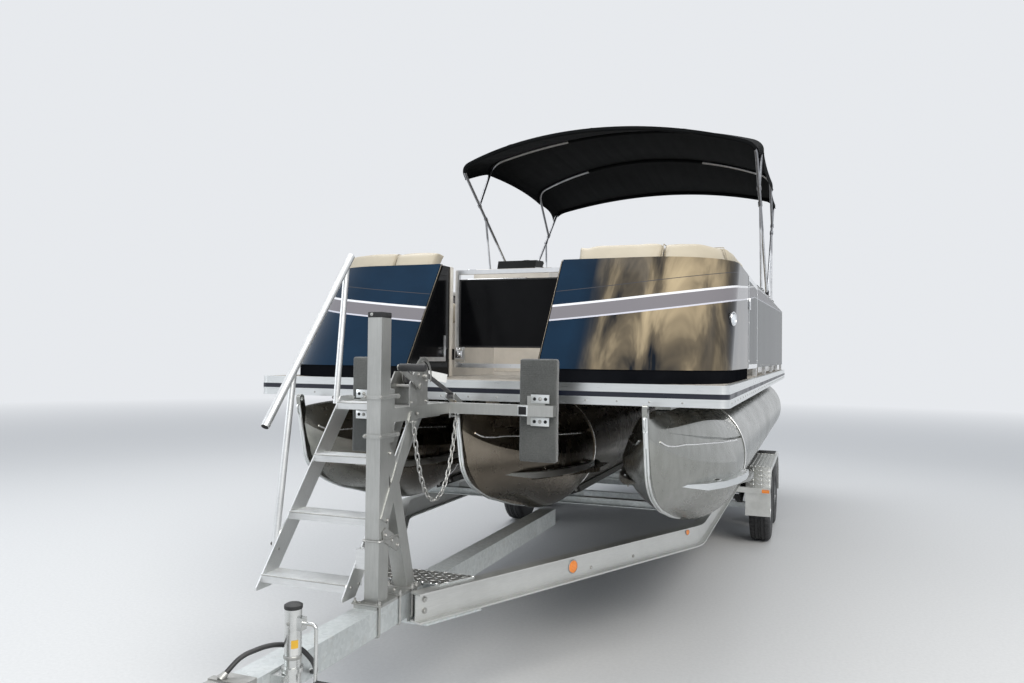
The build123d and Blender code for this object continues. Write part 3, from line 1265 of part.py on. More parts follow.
def fender():
    """The port fender with its brackets to the frame rail."""
    shell = side_plate(fender_outline(0), FENDER_INNER, FENDER_OUTER)
    shell -= side_plate(fender_outline(FENDER_SHEET), FENDER_INNER - 1, FENDER_OUTER + 1)
    lip = side_plate(fender_outline(0), FENDER_OUTER - FENDER_SHEET, FENDER_OUTER)
    lip -= side_plate(fender_outline(38), FENDER_OUTER - 10, FENDER_OUTER + 1)
    shell += lip
    edge = FRAME_HALF - BEAM_FLANGE / 2
    for y in (FENDER_START - 34, fender_end):
        shell += slab(edge, FENDER_OUTER, y, y + 34, BEAM_BOTTOM - FENDER_BRACKET, BEAM_BOTTOM)
    flat_start = FENDER_START + FENDER_SLOPE
    flat_end = fender_end - FENDER_SLOPE
    pad_start = flat_end - STEP_PAD_LENGTH
    pitch = (FENDER_OUTER - FENDER_INNER) / (FENDER_RIBS + 1)
    for number in range(FENDER_RIBS):
        x = FENDER_INNER + pitch * (number + 1)
        shell += slab(x - 6, x + 6, flat_start + 20, pad_start - 20, FENDER_TOP - 1,
                      FENDER_TOP + FENDER_RIB_HEIGHT)
    shell += slab(FENDER_INNER + 16, FENDER_OUTER - 16, pad_start, flat_end - 10, FENDER_TOP - 1,
                  FENDER_TOP + FENDER_RIB_HEIGHT)
    return shell


keep("fenders", both_sides(fender()))


def bow_light():
    """The oval light on the port corner of the bow panel, cut to the panel's curve."""
    turn = math.radians(BOW_LIGHT_TURN)
    lean = BOW_RAKE / RAKE_HEIGHT
    centre_x = FENCE_HALF - BOW_CORNER_RADIUS
    centre_y = BOW_PANEL_START + rake_at(BOW_LIGHT_Z) + BOW_CORNER_RADIUS
    outward = Vector(math.cos(turn), -math.sin(turn), math.sin(turn) * lean).normalized()
    spot = Plane(origin=(centre_x + BOW_CORNER_RADIUS * math.cos(turn),
                         centre_y - BOW_CORNER_RADIUS * math.sin(turn), BOW_LIGHT_Z),
                 x_dir=(0, 1, lean), z_dir=outward)
    half_length, half_height = BOW_LIGHT_HALF
    base = spot.location * Pos(0, 0, -10) * extrude(Ellipse(half_length, half_height),
                                                   amount=10 + BOW_LIGHT_DEPTH)
    lens = spot.location * extrude(Ellipse(half_length - 8, half_height - 8),
                                   amount=BOW_LIGHT_DEPTH + 5)
    return base + lens - Pos(*(outward * SOFT_GAP)) * panel


def lights():
    """Bow lights, amber markers and red tail lights on the trailer."""
    marker = slab(FENDER_OUTER - 70, FENDER_OUTER - 8, FENDER_START - 34 - SOFT_GAP - 14,
                  FENDER_START - 34 - SOFT_GAP, BEAM_BOTTOM - 40, BEAM_BOTTOM - 12)
    tail = slab(FENDER_OUTER - 150, FENDER_OUTER - 8, fender_end + 34 + SOFT_GAP,
                fender_end + 34 + SOFT_GAP + 24, BEAM_BOTTOM - FENDER_BRACKET, BEAM_BOTTOM)
    return both_sides(bow_light()) + both_sides(marker) + both_sides(tail)


keep("lights", lights())

# Winch stand: post on the tongue, arm to the bow boards, winch, strap and a folded leg.
def winch_stand():
    """The post with its base plate, folded leg and the arms."""
    y = POST_STATION
    foot_top = TONGUE_TOP + POST_FOOT
    back = y + POST_Y
    half = ARM_TUBE / 2
    stand = slab(-POST_X, POST_X, y - POST_Y, back, foot_top, POST_TOP)
    stand += slab(-TONGUE_HALF, TONGUE_HALF, y - 80, y + 300, TONGUE_TOP, foot_top)
    stand += side_plate([(back - 2, 1300), (back + 50, 1250), (y + 275, foot_top),
                         (y + 205, foot_top), (back - 2, 1190)], -POST_X, POST_X)
    stand += slab(-half, half, back - 1, CROSS_ARM_STATION + 1, ARM_Z, ARM_Z + ARM_TUBE)
    stand += slab(-half - ARM_SLEEVE, half + ARM_SLEEVE, back - 1, ARM_SLEEVE_END,
                  ARM_Z - ARM_SLEEVE, WINCH_SEAT)
    stand += slab(-half, half, back - 1, back + ARM_TUBE, MAST_BOTTOM, WINCH_SEAT + 80)
    for z in CLAMP_HEIGHTS:
        outer = slab(-POST_X - CLAMP_BAR, POST_X + CLAMP_BAR, y - POST_Y - CLAMP_BAR,
                     back + ARM_TUBE + CLAMP_BAR, z - CLAMP_BAR, z + CLAMP_BAR)
        stand += outer - slab(-POST_X + 1, POST_X - 1, y - POST_Y + 1, back + ARM_TUBE,
                              z - 2 * CLAMP_BAR, z + 2 * CLAMP_BAR)
    for side in (-1, 1):
        x0, x1 = sorted((side * (half + ARM_SLEEVE - 1), side * (POST_X + 4)))
        stand += side_plate([(back + 180, ARM_Z + 33), (back + 236, ARM_Z + 5), (y + 24, 985),
                             (y - 28, 1013)], x0, x1)
    stand += slab(-BOARD_OUTER, BOARD_OUTER, CROSS_ARM_STATION, CROSS_ARM_STATION + ARM_TUBE,
                  ARM_Z, ARM_Z + ARM_TUBE)
    x0, x1, reach = BOARD_BRACKET
    plate = slab(x0, x1, CROSS_ARM_STATION + ARM_TUBE - 6, CROSS_ARM_STATION + ARM_TUBE,
                 ARM_Z - reach, ARM_Z + ARM_TUBE + reach)
    stand += plate + mirror(plate, about=Plane.YZ)
    for y_end in CHAIN_ENDS:
        stand += chain_staple(y_end)
    return stand


def chain_staple(y):
    """The pin that carries one end of the safety chain, on a lug under the arm."""
    pin_z = ARM_Z - ARM_SLEEVE - 9
    lug = slab(ARM_TUBE / 2 - 6, ARM_TUBE / 2 + 2, y - 12, y + 12, pin_z - 9, ARM_Z + 2)
    pin = rod((ARM_TUBE / 2, y, pin_z), (CHAIN_X + 14, y, pin_z), 4.5)
    return lug + pin + rod((CHAIN_X + 12, y, pin_z), (CHAIN_X + 16, y, pin_z), 9)


keep("winch_stand", winch_stand())
board = slab(BOARD_INNER, BOARD_OUTER, CROSS_ARM_STATION + ARM_TUBE + SOFT_GAP,
             CROSS_ARM_STATION + ARM_TUBE + SOFT_GAP + BOARD_THICKNESS, BOARD_BOTTOM, BOARD_TOP)
keep("bow_boards", both_sides(board))


def safety_chain():
    """The links that hang in a catenary between the two pins, every second one turned."""
    pitch = 2 * (LINK_HALF_LENGTH - CHAIN_ROD) - 0.6
    start, end = CHAIN_ENDS
    hang = LINK_HALF_LENGTH - CHAIN_ROD - 5
    length = pitch * (CHAIN_LINKS - 1) + 2 * hang
    half_span = (end - start) / 2
    low, high = 10.0, 1000.0
    for _ in range(60):
        sag = (low + high) / 2
        if 2 * sag * math.sinh(half_span / sag) > length:
            low = sag
        else:
            high = sag
    pin_z = ARM_Z - ARM_SLEEVE - 9
    bottom = pin_z - sag * (math.cosh(half_span / sag) - 1)
    blank = Rectangle(2 * LINK_HALF_LENGTH, 2 * LINK_HALF_WIDTH)
    blank = chamfer(blank.vertices(), CHAIN_ROD)
    hole = Rectangle(2 * (LINK_HALF_LENGTH - CHAIN_ROD), 2 * (LINK_HALF_WIDTH - CHAIN_ROD))
    link = extrude(blank - hole, amount=CHAIN_ROD / 2, both=True)
    links = []
    for number in range(CHAIN_LINKS):
        along_chain = hang + pitch * number - length / 2
        across = sag * math.asinh(along_chain / sag)
        height = bottom + sag * (math.cosh(across / sag) - 1)
        slope = math.sinh(across / sag)
        place = Plane(origin=(CHAIN_X, (start + end) / 2 + across, height),
                      x_dir=(0, 1, slope), z_dir=(1, 0, 0))
        links.append(place.location * Rot(90 * (number % 2), 0, 0) * link)
    return links


def winch():
    """The hand winch: frame, drum with its flanges and gear, pinion shaft and crank."""
    (y0, y1), half, wall, z = WINCH_SPAN, WINCH_HALF, WINCH_PLATE, WINCH_SEAT
    outline = [(y0, z), (y1, z), (y1, z + WINCH_HEIGHT - 30), (y1 - 30, z + WINCH_HEIGHT),
               (y0 + 40, z + WINCH_HEIGHT), (y0, z + WINCH_HEIGHT - 50)]
    body = side_plate(outline, -half, wall - half) + side_plate(outline, half - wall, half)
    body += slab(-half, half, y0, y1, z, z + wall)
    body += rod((-half - 8, *DRUM), (half + 8, *DRUM), 9)
    body += rod((-half + wall, *DRUM), (half - wall, *DRUM), DRUM_RADIUS)
    for x in (-STRAP_HALF - 6, STRAP_HALF + 2):
        body += rod((x, *DRUM), (x + 4, *DRUM), STRAP_COIL + 4)
    body += rod((STRAP_HALF + 8, *DRUM), (STRAP_HALF + 18, *DRUM), GEAR_RADIUS)
    body += rod((-half - 6, *PINION), (half + 24, *PINION), 8)
    (ya, za), (yb, zb) = PINION, CRANK_GRIP
    length = math.hypot(yb - ya, zb - za)
    ny, nz = -(zb - za) / length * 11, (yb - ya) / length * 11
    body += side_plate([(ya + ny, za + nz), (yb + ny, zb + nz), (yb - ny, zb - nz),
                        (ya - ny, za - nz)], half + 14, half + 20)
    body += rod((half + 14, *PINION), (half + 24, *PINION), 15)
    return body + rod((half + 14, *CRANK_GRIP), (half + 130, *CRANK_GRIP), 12)


def shackle():
    """The hook at the strap's end: a pin through the bow eye, two cheeks and a cross bar."""
    y, z = BOW_EYE
    hook = rod((-24, y, z), (24, y, z), 9) + rod((-24, *STRAP_END), (24, *STRAP_END), 8)
    dy, dz = STRAP_END[0] - y, STRAP_END[1] - z
    length = math.hypot(dy, dz)
    ny, nz = -dz / length * 11, dy / length * 11
    outline = [(y + ny, z + nz), (STRAP_END[0] + ny, STRAP_END[1] + nz),
               (STRAP_END[0] - ny, STRAP_END[1] - nz), (y - ny, z - nz)]
    for side in (-1, 1):
        x0, x1 = sorted((side * 17, side * 24))
        hook += side_plate(outline, x0, x1)
        for point in (BOW_EYE, STRAP_END):
            hook += rod((x0, *point), (x1, *point), 13)
    return hook


def strap():
    """The webbing: its coil on the drum and the taut run to the hook."""
    y, z = DRUM
    coil = rod((-STRAP_HALF, y, z), (STRAP_HALF, y, z), STRAP_COIL)
    coil -= rod((-STRAP_HALF - 1, y, z), (STRAP_HALF + 1, y, z), DRUM_RADIUS + SOFT_GAP)
    run = [(y, z + STRAP_COIL - 3), (y, z + STRAP_COIL), (STRAP_END[0], STRAP_END[1] + 13),
           (STRAP_END[0], STRAP_END[1] + 8.3)]
    loop = (rod((-16, *STRAP_END), (16, *STRAP_END), 13)
            - rod((-17, *STRAP_END), (17, *STRAP_END), 8 + SOFT_GAP))
    return coil + side_plate(run, -16, 16) + loop


keep("winch", winch(), shackle())
keep("winch_strap", strap())
keep("safety_chain", *safety_chain())


# Boarding ladder on the starboard side of the post.
def tread(number):
    """A channel tread between the stringers."""
    y = FIRST_TREAD[0] + TREAD_RUN * number
    z = FIRST_TREAD[1] + TREAD_RISE * number
    x0, x1 = LADDER_OUTER + STRINGER, LADDER_INNER - STRINGER
    block = slab(x0, x1, y, y + TREAD_DEPTH, z - TREAD_HEIGHT, z)
    hollow = slab(x0, x1, y + 4, y + TREAD_DEPTH - 4, z - TREAD_HEIGHT, z - 4)
    return block - hollow


def stringers():
    """Two sloping side plates of the ladder and their brackets."""
    slope = TREAD_RISE / TREAD_RUN
    y0, z0 = FIRST_TREAD[0] - 30, FIRST_TREAD[1] - 60
    y1, z1 = FIRST_TREAD[0] + TREAD_RUN * 3 + 60, FIRST_TREAD[1] + TREAD_RISE * 3 + 30
    points = [(y0, z0), (y0 + 95, z0), (y1 + 95, z1 - 8), (y1 + 60, z1), (y1 - 30, z1),
              (y0, z1 - (y1 - 30 - y0) * slope)]
    left = side_plate(points, LADDER_OUTER, LADDER_OUTER + STRINGER)
    right = side_plate(points, LADDER_INNER - STRINGER, LADDER_INNER)
    low = slab(LADDER_INNER, -POST_X, POST_STATION - 30, POST_STATION + 10, 804, 884)
    high = slab(LADDER_INNER, -ARM_TUBE / 2 - ARM_SLEEVE, -470, -430, ARM_Z + 5, ARM_Z + 45)
    return left, right + low + high


left_stringer, right_stringer = stringers()
keep("ladder_treads", *[tread(number) for number in range(TREADS)])


def handrail():
    """The sloping grab rail and its two uprights, outside the outer stringer."""
    x = LADDER_OUTER - 14
    rail = rod((x, *HANDRAIL[0]), (x, *HANDRAIL[1]), HANDRAIL_RADIUS)
    for low, high in UPRIGHTS:
        rail += rod((x, *low), (x, *high), UPRIGHT_RADIUS)
    return rail


keep("ladder_sides", left_stringer + handrail(), right_stringer)


# Jack, coupler and their parts at the tongue's front.
def jack_tube():
    """The jack's outer tube with its side bracket to the tongue."""
    tube = rod((JACK_X, JACK_STATION, JACK_BOTTOM), (JACK_X, JACK_STATION, JACK_TOP), JACK_RADIUS)
    bore = rod((JACK_X, JACK_STATION, JACK_BOTTOM - 1), (JACK_X, JACK_STATION, JACK_TOP - 40),
               JACK_RADIUS - 4)
    bracket = slab(TONGUE_HALF, JACK_X, JACK_STATION - 45, JACK_STATION + 45,
                   TONGUE_BOTTOM + 8, TONGUE_TOP - 8)
    gear = slab(JACK_X + 10, JACK_X + 42, JACK_STATION - 14, JACK_STATION + 14,
                CRANK_Z - 22, CRANK_Z + 18)
    collar = rod((JACK_X, JACK_STATION, TONGUE_TOP - 4), (JACK_X, JACK_STATION, TONGUE_TOP + 10),
                 JACK_RADIUS + 7)
    return tube + bracket + gear + collar - bore


def jack_leg():
    """The inner leg and its round foot on the ground."""
    leg = rod((JACK_X, JACK_STATION, 8), (JACK_X, JACK_STATION, JACK_TOP - JACK_OVERLAP),
              JACK_RADIUS - 4.5)
    foot = rod((JACK_X, JACK_STATION, 0), (JACK_X, JACK_STATION, 10), JACK_FOOT)
    return leg + foot


def jack_crank():
    """The cranked handle of the jack."""
    x, y, low = JACK_X + 42, JACK_STATION, CRANK_Z - CRANK_DROP
    arm = bent_rod([(x, y, CRANK_Z), (x + CRANK_REACH, y, CRANK_Z), (x + CRANK_REACH, y, low)],
                   CRANK_BAR, 18)
    return arm + rod((x + CRANK_REACH - 4, y, low), (x + CRANK_REACH + 105, y, low), 14)


def coupler():
    """The sliding coupler head with its ball socket."""
    half, low, high = TONGUE_HALF + 11, TONGUE_BOTTOM - COUPLER_WALL, TONGUE_TOP + COUPLER_WALL
    body = side_plate([(COUPLER_FRONT, low), (COUPLER_FRONT, high - 34), (COUPLER_FRONT + 46, high),
                       (COUPLER_END, high), (COUPLER_END, low)], -half, half)
    body -= slab(-TONGUE_HALF, TONGUE_HALF, TONGUE_FRONT, COUPLER_END + 10,
                 TONGUE_BOTTOM, TONGUE_TOP)
    for station in (COUPLER_FRONT + 60, COUPLER_END - 70):
        body += slab(-half - 4, half + 4, station, station + 26, low - 3, high + 4)
        body -= slab(-TONGUE_HALF, TONGUE_HALF, TONGUE_FRONT, COUPLER_END + 10,
                     TONGUE_BOTTOM, TONGUE_TOP)
    gland = hose_gland(hose_points[0], hose_points[1])
    gland -= slab(-half, half, COUPLER_FRONT, COUPLER_END, TONGUE_BOTTOM, high - 1)
    body += gland
    head = Pos(0, BALL_STATION, BALL_Z + 14) * Cylinder(52, 92)
    neck = slab(-45, 45, BALL_STATION, COUPLER_FRONT + 5, BALL_Z - 20, BALL_Z + 60)
    socket = Pos(0, BALL_STATION, BALL_Z) * Sphere(BALL_RADIUS + 0.6)
    mouth = Pos(0, BALL_STATION, BALL_Z - 30) * Cylinder(BALL_RADIUS + 0.6, 60)
    return body + head + neck - socket - mouth


def brake_hose():
    """The hose, straight runs joined by arcs as large as the runs allow."""
    radii = []
    for before, here, after in zip(hose_points, hose_points[1:], hose_points[2:]):
        turn = (here - before).get_angle(after - here)
        shorter = min((here - before).length, (after - here).length)
        radii.append(0.45 * shorter / math.tan(math.radians(turn) / 2))
    print("hose radii", [round(radius) for radius in radii])
    path = FilletPolyline(*hose_points, radius=radii)
    return sweep(Plane(origin=path @ 0, z_dir=path % 0) * Circle(HOSE_RADIUS), path=path)


keep("jack_tube", jack_tube() + jack_crank())
keep("jack_leg", jack_leg())
keep("coupler", coupler())
keep("brake_hose", brake_hose())


# Write the pieces, centred on Y.
def centre_shift():
    """How far the whole model moves so that its box is centred on Y."""
    lows, highs = [], []
    for solids in nodes.values():
        for solid in solids:
            box = solid.bounding_box()
            lows.append(box.min.Y)
            highs.append(box.max.Y)
    return -(min(lows) + max(highs)) / 2


shift = centre_shift()
print("stations move by", round(shift, 3))
os.makedirs("parts", exist_ok=True)
for name, solids in nodes.items():
    moved = [Pos(0, shift, 0) * solid for solid in solids]
    export_step(moved[0] if len(moved) == 1 else Compound(children=moved), f"parts/{name}.step")
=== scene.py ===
"""Looks of a three-tube pontoon boat on its tandem-axle trailer.

Lengths are in metres in the frame of the CAD part: +X to port, +Y aft, +Z up from the ground.
A station is a distance aft of the front face of the deck's bow rail. A spot is either a vector in the
frame or a tuple of x, station and height.
"""
import json
import math
import random

import bmesh
import bpy
from mathutils import Matrix, Vector


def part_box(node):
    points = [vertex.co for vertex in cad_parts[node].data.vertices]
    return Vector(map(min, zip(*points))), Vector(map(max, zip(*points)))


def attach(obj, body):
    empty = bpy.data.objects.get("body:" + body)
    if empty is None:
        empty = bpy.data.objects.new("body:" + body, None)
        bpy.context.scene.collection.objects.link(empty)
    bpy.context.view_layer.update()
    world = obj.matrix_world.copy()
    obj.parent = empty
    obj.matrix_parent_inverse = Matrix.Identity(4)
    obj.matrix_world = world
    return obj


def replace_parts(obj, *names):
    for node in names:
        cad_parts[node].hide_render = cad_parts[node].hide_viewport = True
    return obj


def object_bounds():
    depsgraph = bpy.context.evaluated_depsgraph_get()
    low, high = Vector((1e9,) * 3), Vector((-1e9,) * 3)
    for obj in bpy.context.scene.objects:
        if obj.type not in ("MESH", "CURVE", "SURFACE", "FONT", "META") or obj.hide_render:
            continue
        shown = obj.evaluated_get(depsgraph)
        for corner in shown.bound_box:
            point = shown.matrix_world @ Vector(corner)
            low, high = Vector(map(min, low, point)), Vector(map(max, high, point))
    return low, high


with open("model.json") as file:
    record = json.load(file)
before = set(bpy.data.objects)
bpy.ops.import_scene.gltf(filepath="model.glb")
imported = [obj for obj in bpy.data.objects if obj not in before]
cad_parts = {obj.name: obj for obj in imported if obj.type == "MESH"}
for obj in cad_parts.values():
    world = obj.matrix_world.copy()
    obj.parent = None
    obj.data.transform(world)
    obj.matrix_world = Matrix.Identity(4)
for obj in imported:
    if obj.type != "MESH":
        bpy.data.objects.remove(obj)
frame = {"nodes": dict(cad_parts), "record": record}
CAD_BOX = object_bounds()
NODES = frame["nodes"]
SLOT_OF = {row["node"]: row["material_slot"] for row in frame["record"]["subparts"]}
RAIL_LOW, RAIL_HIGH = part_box("deck_rail")
BOW_Y = RAIL_LOW.y
SIDES = (-1, 1)

# The photograph's frame and the viewpoint solved from the deck, gate and trailer lines
PHOTO_WIDTH = 1024
FOCAL_PIXELS = 795.0
SENSOR_WIDTH = 36.0
CAMERA_PLACE = Vector((1.662, -6.595, 1.669))
CAMERA_YAW, CAMERA_PITCH, CAMERA_ROLL = 0.3653, 0.0195, 0.0112

FLOOR_RADIUS = 70.0
FLOOR_FADE = (9.0, 26.0)
BACKGROUND = (0.80, 0.82, 0.85)
MATERIALS = {}


def station(distance):
    """The Y of a station."""
    return BOW_Y + distance


def point(x, distance, height):
    """A vector from an x, a station and a height."""
    return Vector((x, station(distance), height))


def placed(spot):
    """A spot as a vector."""
    return spot if isinstance(spot, Vector) else point(*spot)


def linked(name, data):
    """A new object in the scene."""
    made = bpy.data.objects.new(name, data)
    bpy.context.scene.collection.objects.link(made)
    return made


def as_mesh(shape, name):
    """A bmesh turned into a mesh."""
    mesh = bpy.data.meshes.new(name)
    shape.to_mesh(mesh)
    shape.free()
    return mesh


# Nodes
def feed(tree, socket, value):
    """Link an output to a socket, or set the socket to a plain value."""
    if isinstance(value, bpy.types.NodeSocket):
        tree.links.new(value, socket)
    else:
        socket.default_value = (*value, 1) if socket.type == "RGBA" else value


def add_node(tree, kind, inputs=(), output=0, **settings):
    """The output of a new node, whose inputs are given by name or number and settings as properties."""
    made = tree.nodes.new("ShaderNode" + kind)
    for key, value in settings.items():
        setattr(made, key, value)
    for socket, value in dict(inputs).items():
        feed(tree, made.inputs[socket], value)
    return made.outputs[output] if made.outputs else None


def scaled(colour, factor, lift=0.0):
    """A colour made lighter or darker."""
    return tuple(min(1.0, part * factor + lift) for part in colour)


class Finish:
    """A material being built: its node tree, its shader and the object's own coordinates."""

    def __init__(self, name, colour, roughness, metallic=0.0, **constants):
        self.material = MATERIALS[name] = bpy.data.materials.new(name)
        self.material.use_nodes = True
        self.tree = self.material.node_tree
        self.shader = self.tree.nodes["Principled BSDF"]
        self.give(Base_Color=colour, Roughness=roughness, Metallic=metallic, **constants)
        self.place = self.node("TexCoord", output="Object")

    def node(self, *parts, **settings):
        """The output of a new node in this material."""
        return add_node(self.tree, *parts, **settings)

    def give(self, **values):
        """Feed the shader's sockets, with an underscore for each space in a name."""
        for socket, value in values.items():
            feed(self.tree, self.shader.inputs[socket.replace("_", " ")], value)

    def axis(self, name, source=None):
        """One coordinate of a point."""
        return self.node("SeparateXYZ", {0: source or self.place}, name)

    def stretched(self, scale, turn=(0, 0, 0)):
        """Coordinates multiplied along each axis after a turn in radians."""
        return self.node("Mapping", {"Vector": self.place, "Rotation": turn, "Scale": scale})

    def noise(self, scale, detail=4.0, rough=0.55, source=None, warp=0.0):
        """Cloudy noise from 0 to 1."""
        return self.node("TexNoise", {"Vector": source or self.place, "Scale": scale, "Detail": detail,
                                      "Roughness": rough, "Distortion": warp}, "Fac")

    def cells(self, scale, output="Distance"):
        """Voronoi cells."""
        return self.node("TexVoronoi", {"Vector": self.place, "Scale": scale}, output)

    def math(self, operation, *values):
        """A plain calculation."""
        return self.node("Math", dict(enumerate(values)), operation=operation)

    def times(self, first, second):
        """A product."""
        return self.math("MULTIPLY", first, second)

    def total(self, first, *others):
        """A sum of pairs of a value and its weight."""
        made = self.times(*first)
        for value, weight in others:
            made = self.math("MULTIPLY_ADD", value, weight, made)
        return made

    def ribs(self, axis, rate):
        """Waves along an axis."""
        return self.math("SINE", self.times(self.axis(axis), rate))

    def spread(self, value, low, high, to_low=0.0, to_high=1.0):
        """A value's range from low to high moved to another range, and clamped."""
        return self.node("MapRange", {"Value": value, "From Min": low, "From Max": high, "To Min": to_low,
                                      "To Max": to_high}, "Result")

    def band(self, value, middle, half_width, soft):
        """1 inside a band round a middle value and 0 outside, with soft edges."""
        distance = self.math("ABSOLUTE", self.math("SUBTRACT", value, middle))
        return self.spread(distance, half_width, half_width + soft, 1.0, 0.0)

    def mix(self, factor, first, second):
        """A colour between two colours."""
        return self.node("Mix", {0: factor, 6: first, 7: second}, 2, data_type="RGBA")

    def bump(self, height, strength, distance, under=None):
        """A bump on the shader, over another one where given."""
        inputs = {"Height": height, "Strength": strength, "Distance": distance}
        if under is not None:
            inputs["Normal"] = under
        made = self.node("Bump", inputs)
        self.give(Normal=made)
        return made


# Metals
def metal(name, light, dark, rough, grime, relief=0.18, streak=(1, 1, 1)):
    """Bare or drawn metal: cloudy tone, fine streaks along the direction with the smallest factor."""
    made = Finish(name, light, rough, 1.0)
    lines = made.noise(36, 3, 0.6, made.stretched(streak))
    tone = made.total((made.noise(3.2, 6, 0.62), 0.55), (lines, 0.45))
    stain = made.times(made.spread(made.noise(11, 5, 0.7, warp=0.4), 0.48, 0.72), grime)
    colour = made.mix(made.spread(tone, 0.3, 0.72), dark, light)
    made.give(Base_Color=made.mix(stain, colour, scaled(dark, 0.62)),
              Roughness=made.spread(made.math("ADD", tone, stain), 0.25, 1.2, rough - 0.08, rough + 0.25))
    made.bump(lines, relief, 0.0006)


def galvanised(name):
    """Hot-dip zinc: pale grey with faint crystal spangle, dull patches and runs."""
    light, dark = (0.66, 0.69, 0.69), (0.48, 0.51, 0.51)
    made = Finish(name, light, 0.46, 0.75)
    shade = made.axis("X", made.cells(65, "Color"))
    runs = made.noise(7, 4, 0.6, made.stretched((1.0, 1.0, 0.12)))
    tone = made.total((made.noise(2.6, 6, 0.6, warp=0.3), 0.5), (shade, 0.20), (runs, 0.35))
    colour = made.mix(made.spread(tone, 0.32, 0.72), dark, light)
    dust = made.spread(made.noise(23, 5, 0.7), 0.56, 0.74, 0.0, 0.35)
    made.give(Base_Color=made.mix(dust, colour, (0.46, 0.43, 0.38)),
              Roughness=made.spread(tone, 0.3, 0.8, 0.56, 0.36))
    made.bump(made.math("MULTIPLY_ADD", shade, 0.2, made.noise(130, 3)), 0.16, 0.0012)


def pontoon_metal(name, bloom_and_shade=0.86):
    """Mill-finish sheet: brushed along the tube, faintly hazed, with painted brown shade on the sides between
    the tubes.
    """
    light, dark = (0.375, 0.38, 0.36), (0.255, 0.26, 0.24)
    made = Finish(name, light, 0.26, 1.0)
    grain = made.noise(9, 3, 0.5, made.stretched((5.0, 1.6, 0.35)))
    haze = made.noise(1.6, 4, 0.5, warp=0.5)
    waterline = made.spread(made.math("MULTIPLY_ADD", haze, 0.16, made.axis("Z")), 0.96, 1.12, 1.0, 0.0)
    drips = made.spread(made.noise(16, 4, 0.65, made.stretched((1, 1, 0.10))), 0.54, 0.70)
    # Painted shade: the sides that face the next tube are drawn brown, by the given amount, for the shadow
    # and dark reflection between the tubes.
    inside = made.spread(made.math("ABSOLUTE", made.axis("X")), 0.70, 0.92, 1.0, 0.0)
    tone = made.total((haze, 0.60), (grain, 0.40))
    colour = made.mix(made.spread(tone, 0.35, 0.68), dark, light)
    colour = made.mix(made.times(waterline, 0.22), colour, (0.34, 0.33, 0.31))
    colour = made.mix(made.times(drips, 0.10), colour, (0.30, 0.29, 0.27))
    # The browns of the painted shade between the tubes.
    between_tubes_shade = made.mix(made.spread(haze, 0.35, 0.65), (0.15, 0.122, 0.092), (0.25, 0.21, 0.162))
    made.give(Base_Color=made.mix(made.times(inside, bloom_and_shade), colour, between_tubes_shade),
              Roughness=made.spread(tone, 0.3, 0.75, 0.32, 0.21))
    made.bump(grain, 0.05, 0.0008, made.bump(made.noise(3.2, 2, 0.5), 0.35, 0.008))


def diamond_plate(name):
    """Bright tread plate: a raised lozenge in each cell, turned the other way in every second one."""
    made = Finish(name, (0.66, 0.67, 0.68), 0.30, 1.0)
    pitch, length, width = 0.034, 0.0145, 0.0042
    cells = [made.math("DIVIDE", value, pitch)
             for value in (made.axis("Y"), made.math("ADD", made.axis("X"), made.axis("Z")))]
    local_a, local_b = (made.times(made.math("SUBTRACT", made.math("FRACT", cell), 0.5), pitch)
                        for cell in cells)
    parity = made.math("MODULO", made.math("ADD", *(made.math("FLOOR", cell) for cell in cells)), 2.0)
    turned_b = made.times(local_b, made.math("MULTIPLY_ADD", made.math("ABSOLUTE", parity), 2.0, -1.0))
    shares = [made.math("DIVIDE", made.times(made.math(kind, local_a, turned_b), 0.7071), size)
              for kind, size in (("ADD", length), ("SUBTRACT", width))]
    raised = made.spread(made.math("ADD", *(made.math("POWER", share, 2.0) for share in shares)),
                         0.45, 1.3, 1.0, 0.0)
    clouds = made.noise(6, 5, 0.6)
    colour = made.mix(made.spread(clouds, 0.35, 0.7), (0.60, 0.605, 0.58), (0.80, 0.805, 0.78))
    made.give(Base_Color=made.mix(made.times(raised, 0.85), colour, (0.93, 0.94, 0.95)),
              Roughness=made.spread(clouds, 0.3, 0.7, 0.42, 0.26))
    made.bump(raised, 1.0, 0.003)


def bow_tube(name):
    """Bow tube: bright low down, darker along the upper legs and satin grey at the crowns."""
    made = Finish(name, (0.55, 0.56, 0.58), 0.34, 1.0)
    height, fine = made.axis("Z"), made.noise(60, 4, 0.6, made.stretched((1, 1, 0.2)))
    bright, dark, satin = (made.mix(made.spread(fine, 0.35, 0.65), *pair) for pair in (
        ((0.60, 0.61, 0.63), (0.78, 0.79, 0.81)), ((0.26, 0.265, 0.28), (0.38, 0.385, 0.40)),
        ((0.42, 0.42, 0.43), (0.56, 0.56, 0.57))))
    legs = made.mix(made.spread(height, 2.74, 2.78), bright, dark)
    made.give(Base_Color=made.mix(made.spread(height, 3.40, 3.50), legs, satin))
    made.bump(fine, 0.12, 0.0006)


# Paints, plastics and rubber
def painted(name, colour, roughness, speck, peel=0.05, coat=0.0, metallic=0.0, specular=0.4):
    """Paint or gelcoat: slight tone clouds, dust in the low spots and an orange-peel surface."""
    made = Finish(name, colour, roughness, metallic, Coat_Weight=coat, Coat_Roughness=0.08,
                  Specular_IOR_Level=specular)
    clouds = made.noise(2.2, 5, 0.6)
    dust = made.spread(made.noise(34, 6, 0.7), 0.5, 0.8, 0.0, speck)
    tone = made.mix(made.spread(clouds, 0.3, 0.7), scaled(colour, 0.8), scaled(colour, 1.25, 0.004))
    made.give(Base_Color=made.mix(dust, tone, scaled(colour, 0.7, 0.03)),
              Roughness=made.spread(clouds, 0.3, 0.7, roughness + 0.05, max(0.04, roughness - 0.03)))
    made.bump(made.noise(260, 2), peel, 0.0006)


